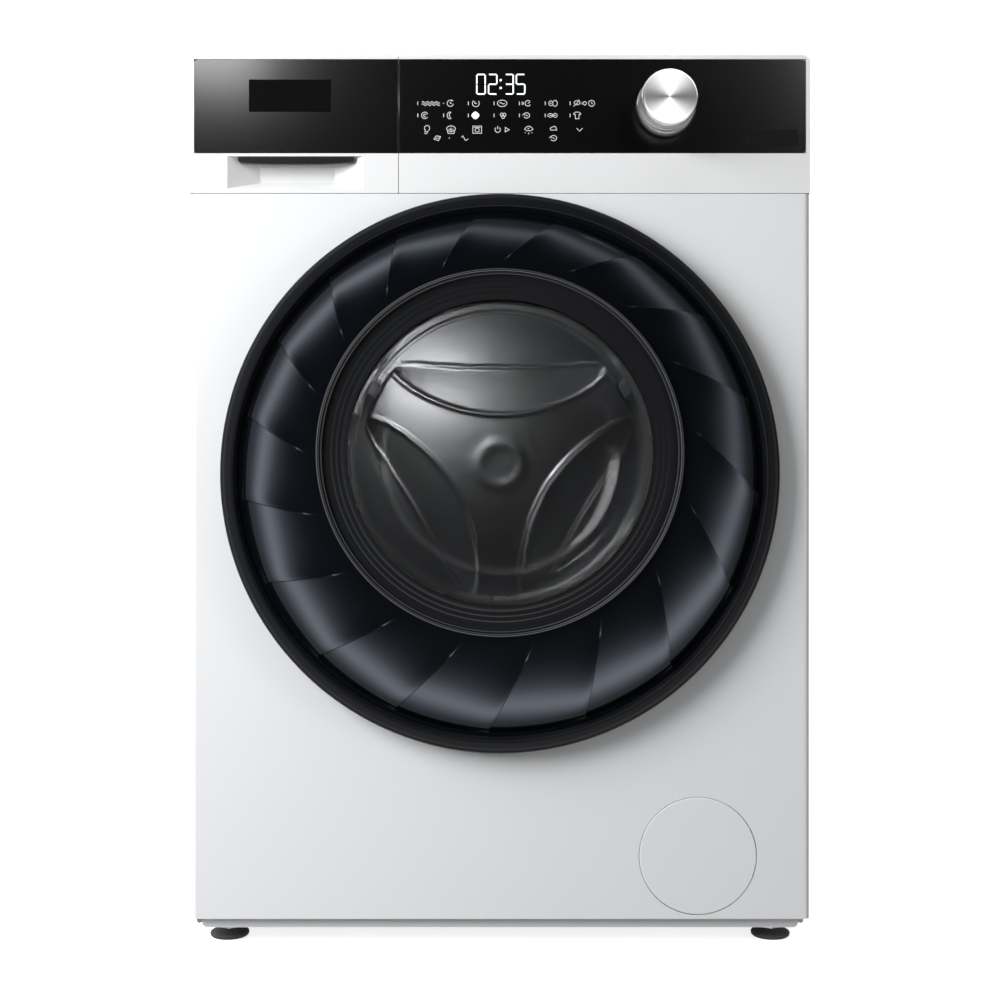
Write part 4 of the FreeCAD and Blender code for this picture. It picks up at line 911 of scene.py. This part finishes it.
# Glass bowl: pressed borosilicate, 5 mm thick, its flange clamped behind the vane ring. It
# bulges into the gasket's mouth and keeps the washing off the door.
bowl_low, bowl_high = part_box("glass_bowl")
flange_y = bowl_low.y
flange_r = (bowl_high.x - bowl_low.x) / 2
BOWL_OUTSIDE = [(148.4, 8), (147.0, 26), (144.5, 42), (139.0, 58), (129.0, 73), (114.0, 83), (96.0, 87),
                (60.0, 87.8),
                (0, 88)]
BOWL_INSIDE = [(0, 83), (60.0, 82.8), (94.5, 82), (111.0, 78.5), (125.5, 69), (134.5, 55.5), (139.5, 41),
               (142.0, 25),
               (143.4, 8)]
bowl_profile = [(flange_r, flange_y), (flange_r, flange_y + 5 * MM), (149.8 * MM, flange_y + 5 * MM)]
bowl_profile += near(0, FRONT_Y, BOWL_OUTSIDE + BOWL_INSIDE) + [(145.5 * MM, flange_y)]
bowl_glass = new_finish("pressed_bowl_glass", (0.87, 0.87, 0.87), 0.02, Transmission_Weight=1.0, IOR=1.47)
glass_bowl = turned_piece("door_glass_bowl", bowl_profile, 0.0, AXIS_Z, bowl_glass, segments=120,
                          closed=True)
fit(glass_bowl, "door", "bowl_glass", "glass_bowl")

# Inner door frame: a plain grey moulding that closes the back of the door and clamps the bowl's
# flange against the vane ring.
frame_plastic = living_finish("inner_frame_plastic", (0.30, 0.31, 0.33), (0.26, 0.27, 0.29), (0.4, 0.5),
                              drift=10.0,
                              grain=1200.0, depth=0.03)
coat_node("door_inner_frame", frame_plastic)

# Door gasket: soft grey EPDM bellows moulded in one, from the bead on the porthole's edge,
# through the sealing lip that the bowl presses on, to the collar on the tub's mouth.
gasket_rubber = living_finish("gasket_epdm", (0.15, 0.155, 0.165), (0.19, 0.195, 0.205), (0.5, 0.62),
                              drift=18.0,
                              grain=1600.0, depth=0.04, Sheen_Weight=0.15)


# The gasket's closed section, as radius and depth behind its front face in millimetres.
GASKET_OUTSIDE = [(189.5, 0.1), (189.5, 4), (184, 9.5), (178.5, 14.5), (178, 24), (178, 42), (182, 46),
                  (191, 48.8),
                  (194, 52), (193, 56.5), (186, 60.2), (184, 64), (187, 68), (196, 71.5), (199.3, 74.5),
                  (199.3, 83)]
GASKET_INSIDE = [(196.6, 83), (196.6, 76.6), (192, 73.4), (183, 70), (180.8, 64.5), (182.5, 58.6),
                 (189.8, 55.2),
                 (190.8, 52.6), (188, 51), (179, 48.2), (175.2, 44.5), (174.5, 40.4), (163, 39.3),
                 (151.4, 37.2),
                 (151.2, 35.2), (152.6, 34.6), (164, 36.2), (174.4, 36.6), (175, 30), (175, 16), (177.4, 9),
                 (176.4, 0.1)]
gasket_profile = near(0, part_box("door_gasket")[0].y, GASKET_OUTSIDE + GASKET_INSIDE)
gasket = turned_piece("door_gasket_bellows", gasket_profile, 0.0, AXIS_Z, gasket_rubber, segments=128,
                      closed=True)
fit(gasket, "cabinet", "gasket_rubber", "door_gasket")

# Drum: stainless sheet, rolled and seamed to its pressed ends. Its wall has rows of small
# drain holes, painted near black on the steel as painted shade, its mouth a rolled edge, and its back a
# pressed three-armed star over the spider.
drum_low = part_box("drum_front_end")[0]
drum_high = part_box("drum_shell")[1]
DRUM_R = (drum_high.x - drum_low.x) / 2
DRUM_SKIN = 2 * MM
DRUM_MOUTH_R = 190 * MM
STAR_RISE = 5 * MM
STAR_ARCS = ((268 * MM, 205 * MM), (623 * MM, 500 * MM))   # inner, outer: middle off the axis, radius
BEAD_RISE = 1.8 * MM
BEAD_HALF = 2.3 * MM


def drain_hole_group():
    """Staggered round holes over the drum's wall, in arc length and depth: a mask for the painted shade in
    each hole, and a dimple round it.
    """
    group, inp, out = new_group("drain_holes", [("Pitch", "Float", 0.0145), ("Hole", "Float", 0.15)],
                                [("Hole Mask", "Float"), ("Dimple", "Float")])
    link = group.links.new
    offset = vector_math(group, "SUBTRACT", object_place(group), (0.0, 0.0, AXIS_Z))
    apart = add_node(group, "SeparateXYZ")
    link(offset.outputs[0], apart.inputs[0])
    angle = math_node(group, "ARCTAN2", apart.outputs[2], apart.outputs[0])
    turns = round(2 * math.pi * DRUM_R / 0.0145)
    column = math_node(group, "MULTIPLY", angle, turns / (2 * math.pi))
    row = math_node(group, "DIVIDE", apart.outputs[1], inp.outputs["Pitch"])
    shift = math_node(group, "MULTIPLY", math_node(group, "MODULO", math_node(group, "FLOOR", row), 2.0),
                      0.5)
    u = math_node(group, "SUBTRACT", math_node(group, "FRACT", math_node(group, "ADD", column, shift)), 0.5)
    v = math_node(group, "SUBTRACT", math_node(group, "FRACT", row), 0.5)
    reach = math_node(group, "SQRT", math_node(group, "ADD", math_node(group, "MULTIPLY", u, u),
                                               math_node(group, "MULTIPLY", v, v)))
    hole = math_node(group, "LESS_THAN", reach, inp.outputs["Hole"])
    dimple = add_node(group, "MapRange", interpolation_type="SMOOTHSTEP", in_1=0.1, in_2=0.3)
    link(reach, dimple.inputs[0])
    link(hole, out.inputs["Hole Mask"])
    link(dimple.outputs[0], out.inputs["Dimple"])
    return group


def drum_wall_finish():
    material = new_finish("perforated_stainless", (0.55, 0.56, 0.57), 0.25, 1.0)
    holes = use_group(material, drain_hole_group())
    tree = material.node_tree
    shader = tree.nodes["Principled BSDF"]
    # Painted shade: each hole is coloured near black on the uncut steel, for the dark seen through it.
    tone = add_node(tree, "Mix", data_type="RGBA", in_6=(0.56, 0.57, 0.58, 1), in_7=(0.01, 0.01, 0.01, 1))
    tree.links.new(holes.outputs["Hole Mask"], tone.inputs[0])
    tree.links.new(tone.outputs[2], shader.inputs["Base Color"])
    bump_from(material, holes.outputs["Dimple"], 0.8 * MM)
    return material


stainless = living_finish("brushed_stainless", (0.58, 0.59, 0.60), (0.50, 0.51, 0.525), (0.28, 0.36),
                          metallic=1.0,
                          drift=5.0, grain=800.0, depth=0.01)
drum_wall = drum_wall_finish()


def star_height(x, z):
    """Rise of the pressed back: a star between three arcs, a sloping band and a bead along each
    band's two edges, a ring round the hub and a rolled corner."""
    r = math.hypot(x, z)
    rise = STAR_RISE
    bead = 0.0
    for turn in (90.0, 210.0, 330.0):
        away = Vector((math.cos(math.radians(turn)), math.sin(math.radians(turn))))
        inner, outer = [(Vector((x, z)) - off * away).length - radius for off, radius in STAR_ARCS]
        if inner < 0:
            rise = STAR_RISE * (1 - min(1.0, inner / (inner - outer))) if outer > 0 else 0.0
        bead = max(bead, math.exp(-((inner / BEAD_HALF) ** 2)), math.exp(-((outer / BEAD_HALF) ** 2)))
    edge = 1 - smooth_step((r - 196 * MM) / (16 * MM))
    hub = math.exp(-(((r - 26 * MM) / (8 * MM)) ** 2))
    rim = smooth_step((r - 222 * MM) / (14 * MM))
    return edge * (rise + BEAD_RISE * bead) + 1.0 * MM * hub + 6 * MM * rim


def drum_mesh():
    segments = 360
    back_y = drum_high.y
    inner_back = back_y - DRUM_SKIN
    sections = near(DRUM_MOUTH_R, drum_low.y, [(0, 6), (-0.5, 2.5), (1.5, 0.4), (5, 0)])
    sections += near(DRUM_R, drum_low.y, [(-22, 0), (-6, 1.5), (-1, 6), (0, 12)])
    sections += near(DRUM_R, back_y, [(0, -12), (-2, -3), (-9, 0)])
    sections += [(DRUM_R * t, back_y) for t in (0.9, 0.6, 0.3, 0)]
    sections += [((DRUM_R - 10 * MM) * i / 100, inner_back) for i in range(101)]
    sections += near(DRUM_R, inner_back, [(-4, -2), (-2, -10)])
    sections += near(DRUM_R, drum_low.y, [(-2, 14), (-3.4, 8), (-8, 3.4), (-22, 2)])
    sections += near(DRUM_MOUTH_R, drum_low.y, [(5, 2), (2, 3)])
    bm = bmesh.new()
    rings = []
    for r, y in sections:
        ring = []
        for i in range(segments if r > 1e-6 else 1):
            a = 2 * math.pi * i / segments
            x, z = r * math.cos(a), r * math.sin(a)
            rise = star_height(x, z) if y == inner_back else 0.0
            ring.append(bm.verts.new((x, y - rise, AXIS_Z + z)))
        rings.append(ring)
    turned_faces(bm, rings + rings[:1])
    return bm


drum = from_bmesh("drum_pressed_shell", drum_mesh(), stainless)
drum.data.materials.append(drum_wall)
for polygon in drum.data.polygons:
    reach = math.hypot(polygon.center.x, polygon.center.z - AXIS_Z)
    if reach > DRUM_R - 3 * MM and drum_low.y + 12 * MM < polygon.center.y < drum_high.y - 12 * MM:
        polygon.material_index = 1
fit(drum, "drum", "drum_stainless", "drum_shell", "drum_front_end")

# Lifters: three hollow grey mouldings screwed to the drum's wall, which carry the washing up.
# They are moulded with well rounded edges, so that nothing snags.
lifter_plastic = living_finish("lifter_plastic", (0.40, 0.42, 0.45), (0.46, 0.48, 0.51), (0.34, 0.42),
                               drift=12.0,
                               grain=1200.0, depth=0.03)
coat_node("drum_lifters", lifter_plastic)
lifter_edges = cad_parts["drum_lifters"].modifiers.new("rolled_edges", "BEVEL")
lifter_edges.width = 5 * MM
lifter_edges.segments = 4
lifter_edges.limit_method = "ANGLE"
lifter_edges.angle_limit = math.radians(40)
lifter_edges.harden_normals = True

# Round pump-filter cover: a white moulded cap that sits flush in its hole with an even gap all
# round, its edge softly rolled, with the filter's grey plug behind it.
cover_low, cover_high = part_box("service_cover")
COVER_X = (cover_low.x + cover_high.x) / 2
COVER_Z = (cover_low.z + cover_high.z) / 2
COVER_R = (cover_high.z - cover_low.z) / 2
cover_cap_profile = [(0, cover_low.y), (COVER_R * 0.5, cover_low.y), (COVER_R - 2.2 * MM, cover_low.y)]
cover_cap_profile += arc_points(COVER_R - 1.0 * MM, cover_low.y + 1.0 * MM, 1.0 * MM, 270, 360, 5)
cover_cap_profile += near(COVER_R, cover_low.y, [(0, 2.4), (-3, 2.5)])
cover_cap_profile += near(COVER_R, cover_high.y, [(-3.1, 0), (-4.9, 0)])
cover_cap_profile += [(COVER_R - 5 * MM, cover_low.y + 2.5 * MM), (0, cover_low.y + 2.5 * MM)]
filter_cover = turned_piece("filter_cover_cap", cover_cap_profile, COVER_X, COVER_Z, enamel, segments=128)
fit(filter_cover, "filter_cover", "cover_white", "service_cover")

# Feet: dark rubber pads moulded on zinc-plated hexagon stems, which screw up into the base
# frame so that the machine stands level.
foot_rubber = living_finish("foot_rubber", (0.055, 0.055, 0.056), (0.075, 0.075, 0.075), (0.62, 0.75),
                            drift=30.0,
                            grain=1500.0, depth=0.08)
stem_zinc = living_finish("stem_zinc_plate", (0.52, 0.53, 0.55), (0.42, 0.43, 0.45), (0.3, 0.42),
                          metallic=0.95,
                          drift=60.0, grain=1500.0, depth=0.02)
HEX_HALF = 8 * MM
HEX_TOP = 17.7                # millimetres over the floor
THREAD_PITCH = 1.5 * MM


def level_ring(bm, x, y, z, r, count, first=0.0):
    """Points of a level circle, or its middle alone where the radius is zero."""
    turns = [first + 2 * math.pi * i / count for i in range(count)] if r else [0.0]
    return [bm.verts.new((x + r * math.cos(a), y + r * math.sin(a), z)) for a in turns]


def closed_stack(bm, rings):
    skin_loops(bm, rings)
    bm.faces.new(rings[0])
    bm.faces.new(rings[-1])


def hexagon_stem(name, x, y, top):
    """Hexagon with chamfered ends, and the threaded stem above it."""
    corner_r = HEX_HALF / math.cos(math.pi / 6)
    bm = bmesh.new()
    closed_stack(bm, [level_ring(bm, x, y, z * MM, corner_r * scale, 6, math.pi / 6)
                      for scale, z in ((0.90, 8.0), (1.0, 8.8), (1.0, 16.9), (0.9, HEX_TOP))])
    turns = int((top - 19 * MM) / THREAD_PITCH)
    closed_stack(bm, [level_ring(bm, x, y, HEX_TOP * MM + step * THREAD_PITCH / 2,
                                 (4.95 if step % 2 else 4.3) * MM, 24)
                      for step in range(2 * turns)])
    return from_bmesh(name, bm, stem_zinc, smooth=False)


def foot_pad(name, x, y):
    """Rubber pad turned about the foot's upright axis, with a shoulder and a fine rim."""
    profile = [(0, 0), (15.5, 0), (17.4, 0.5), (18.6, 1.6), (19, 3), (19, 4.2), (18.4, 5), (15.5, 6.2),
               (11.5, 8.0),
               (9.6, 8.8), (8.6, 9.0), (0, 9.0)]
    bm = bmesh.new()
    turned_faces(bm, [level_ring(bm, x, y, z * MM, r * MM, 64) for r, z in profile])
    pad = from_bmesh(name, bm, foot_rubber)
    pad.data.set_sharp_from_angle(angle=math.radians(50))
    return pad


for corner, foot_body in (("front_left", "foot_fl"), ("front_right", "foot_fr"), ("rear_left", "foot_rl"),
                          ("rear_right", "foot_rr")):
    foot_low, foot_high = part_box("foot_" + corner)
    foot_x = (foot_low.x + foot_high.x) / 2
    foot_y = (foot_low.y + foot_high.y) / 2
    stem = hexagon_stem("foot_stem_" + corner, foot_x, foot_y, foot_high.z)
    pad = foot_pad("foot_pad_" + corner, foot_x, foot_y)
    fit(pad, foot_body, "rubber", "foot_" + corner)
    fit(stem, foot_body, "steel")

# Studio: a white floor that runs into a white surround, a large soft light to the upper left,
# one above, a weak fill to the right, two that fall on the black glass and knob alone, and a
# small one inside the drum's mouth. In gloss, the surround is a soft ring about the front.


def floor_finish():
    """White to the viewer and dim to all else, so that little light comes up from below."""
    material = living_finish("studio_floor", (0.93, 0.93, 0.93), (0.92, 0.92, 0.92), (0.7, 0.75), drift=0.5,
                             grain=40.0, depth=0.02, Emission_Color=(1, 1, 1, 1), Emission_Strength=0.8)
    tree = material.node_tree
    choose = add_node(tree, "MixShader")
    tree.links.new(add_node(tree, "LightPath").outputs["Is Camera Ray"], choose.inputs[0])
    tree.links.new(add_node(tree, "BsdfDiffuse", in_0=(0.2, 0.2, 0.2, 1)).outputs[0], choose.inputs[1])
    tree.links.new(tree.nodes["Principled BSDF"].outputs[0], choose.inputs[2])
    tree.links.new(choose.outputs[0], tree.nodes["Material Output"].inputs["Surface"])
    return material


floor_mesh = bpy.data.meshes.new("studio_floor")
floor_mesh.from_pydata([(-12, -12, 0), (12, -12, 0), (12, 12, 0), (-12, 12, 0)], [], [(0, 1, 2, 3)])
floor_mesh.materials.append(floor_finish())
studio_floor = bpy.data.objects.new("studio_floor", floor_mesh)
bpy.context.scene.collection.objects.link(studio_floor)
studio_floor.visible_glossy = False


def soft_light(name, place, aim, width, height, power, gloss=True, only=None):
    """Rectangular soft box aimed at a point."""
    lamp = bpy.data.lights.new(name, "AREA")
    lamp.shape = "RECTANGLE"
    lamp.size = width
    lamp.size_y = height
    lamp.energy = power
    box = bpy.data.objects.new(name, lamp)
    box.location = place
    box.rotation_euler = (Vector(aim) - Vector(place)).to_track_quat("-Z", "Y").to_euler()
    box.visible_camera = False
    box.visible_glossy = gloss
    box.light_linking.receiver_collection = only
    bpy.context.scene.collection.objects.link(box)


soft_light("left_light", (-1.5, -1.3, 1.2), (0, FRONT_Y, 0.45), 1.3, 1.3, 58, gloss=False)
soft_light("overhead_light", (0.2, -0.4, 2.9), (0, 0, 0.5), 2.4, 1.6, 16, gloss=False)
soft_light("right_fill", (2.3, -1.6, 0.5), (0, FRONT_Y, 0.4), 0.9, 1.2, 12, gloss=False)
on_glass = bpy.data.collections.new("light_on_glass")
for piece in (console_glass, drawer_glass, knob_cap):
    on_glass.objects.link(piece)
soft_light("left_glass_light", (-0.72, FRONT_Y - 0.6, 1.32), (-0.25, FRONT_Y, 0.82), 1.0, 0.5, 15,
           only=on_glass)
soft_light("right_glass_light", (0.80, FRONT_Y - 0.6, 1.30), (0.25, FRONT_Y, 0.82), 0.8, 0.5, 13,
           only=on_glass)
soft_light("drum_light", (-0.11, FRONT_Y + 0.105, AXIS_Z + 0.135), (-0.04, FRONT_Y + 0.44, AXIS_Z), 0.09,
           0.05, 0.35)

world = bpy.data.worlds.new("studio_surround")
world.use_nodes = True
sky = world.node_tree
link = sky.links.new
way = add_node(sky, "TexCoord").outputs["Generated"]
toward_front = vector_math(sky, "DOT_PRODUCT", way, (0.0, -0.99, 0.139))
upward = vector_math(sky, "DOT_PRODUCT", way, (0.85, 0.0, 0.85))
strength = add_node(sky, "MapRange", interpolation_type="SMOOTHSTEP", in_1=0.2, in_2=0.85, in_3=3.3,
                    in_4=1.4)
level = add_node(sky, "ValToRGB")
link(math_node(sky, "ADD", math_node(sky, "MULTIPLY", toward_front.outputs["Value"], 0.5), 0.5),
              level.inputs[0])
stops = level.color_ramp.elements
stops[0].position, stops[0].color = 0.0, (0.13, 0.13, 0.13, 1)
stops[1].position, stops[1].color = 1.0, (0.002, 0.002, 0.002, 1)
for position, value in ((0.5, 0.11), (0.57, 0.11), (0.67, 0.17), (0.742, 0.5), (0.78, 0.85), (0.808, 1.0),
                        (0.854, 0.72), (0.889, 0.3), (0.9145, 0.14), (0.933, 0.07), (0.9455, 0.025),
                        (0.967, 0.005)):
    stop = stops.new(position)
    stop.color = (value, value, value, 1)
link(level.outputs[0], sky.nodes["Background"].inputs["Color"])
link(upward.outputs["Value"], strength.inputs[0])
link(strength.outputs[0], sky.nodes["Background"].inputs["Strength"])
even = add_node(sky, "Background", in_0=(1, 1, 1, 1), in_1=0.22)
gloss_or_even = add_node(sky, "MixShader")
paths = add_node(sky, "LightPath")
link(paths.outputs["Is Glossy Ray"], gloss_or_even.inputs[0])
link(even.outputs[0], gloss_or_even.inputs[1])
link(sky.nodes["Background"].outputs[0], gloss_or_even.inputs[2])
bright = add_node(sky, "Background", in_0=(1, 1, 1, 1), in_1=1.05)
choose = add_node(sky, "MixShader")
link(paths.outputs["Is Camera Ray"], choose.inputs[0])
link(gloss_or_even.outputs[0], choose.inputs[1])
link(bright.outputs[0], choose.inputs[2])
link(choose.outputs[0], sky.nodes["World Output"].inputs["Surface"])
bpy.context.scene.world = world
bpy.context.scene.view_settings.view_transform = "Standard"

# Camera: square on to the front at half height and 1.4 m away, as a catalogue picture is taken,
# with a little room round the machine.
CAMERA_AWAY = 1.4
FRAME_WIDTH = 0.9597
camera_data = bpy.data.cameras.new("catalogue_camera")
camera_data.sensor_width = 36.0
camera_data.lens = 36.0 * CAMERA_AWAY / FRAME_WIDTH
camera = bpy.data.objects.new("catalogue_camera", camera_data)
camera.location = (0.0, FRONT_Y - CAMERA_AWAY, 0.431)
camera.rotation_euler = (math.radians(90), 0, 0)
bpy.context.scene.collection.objects.link(camera)
bpy.context.scene.camera = camera
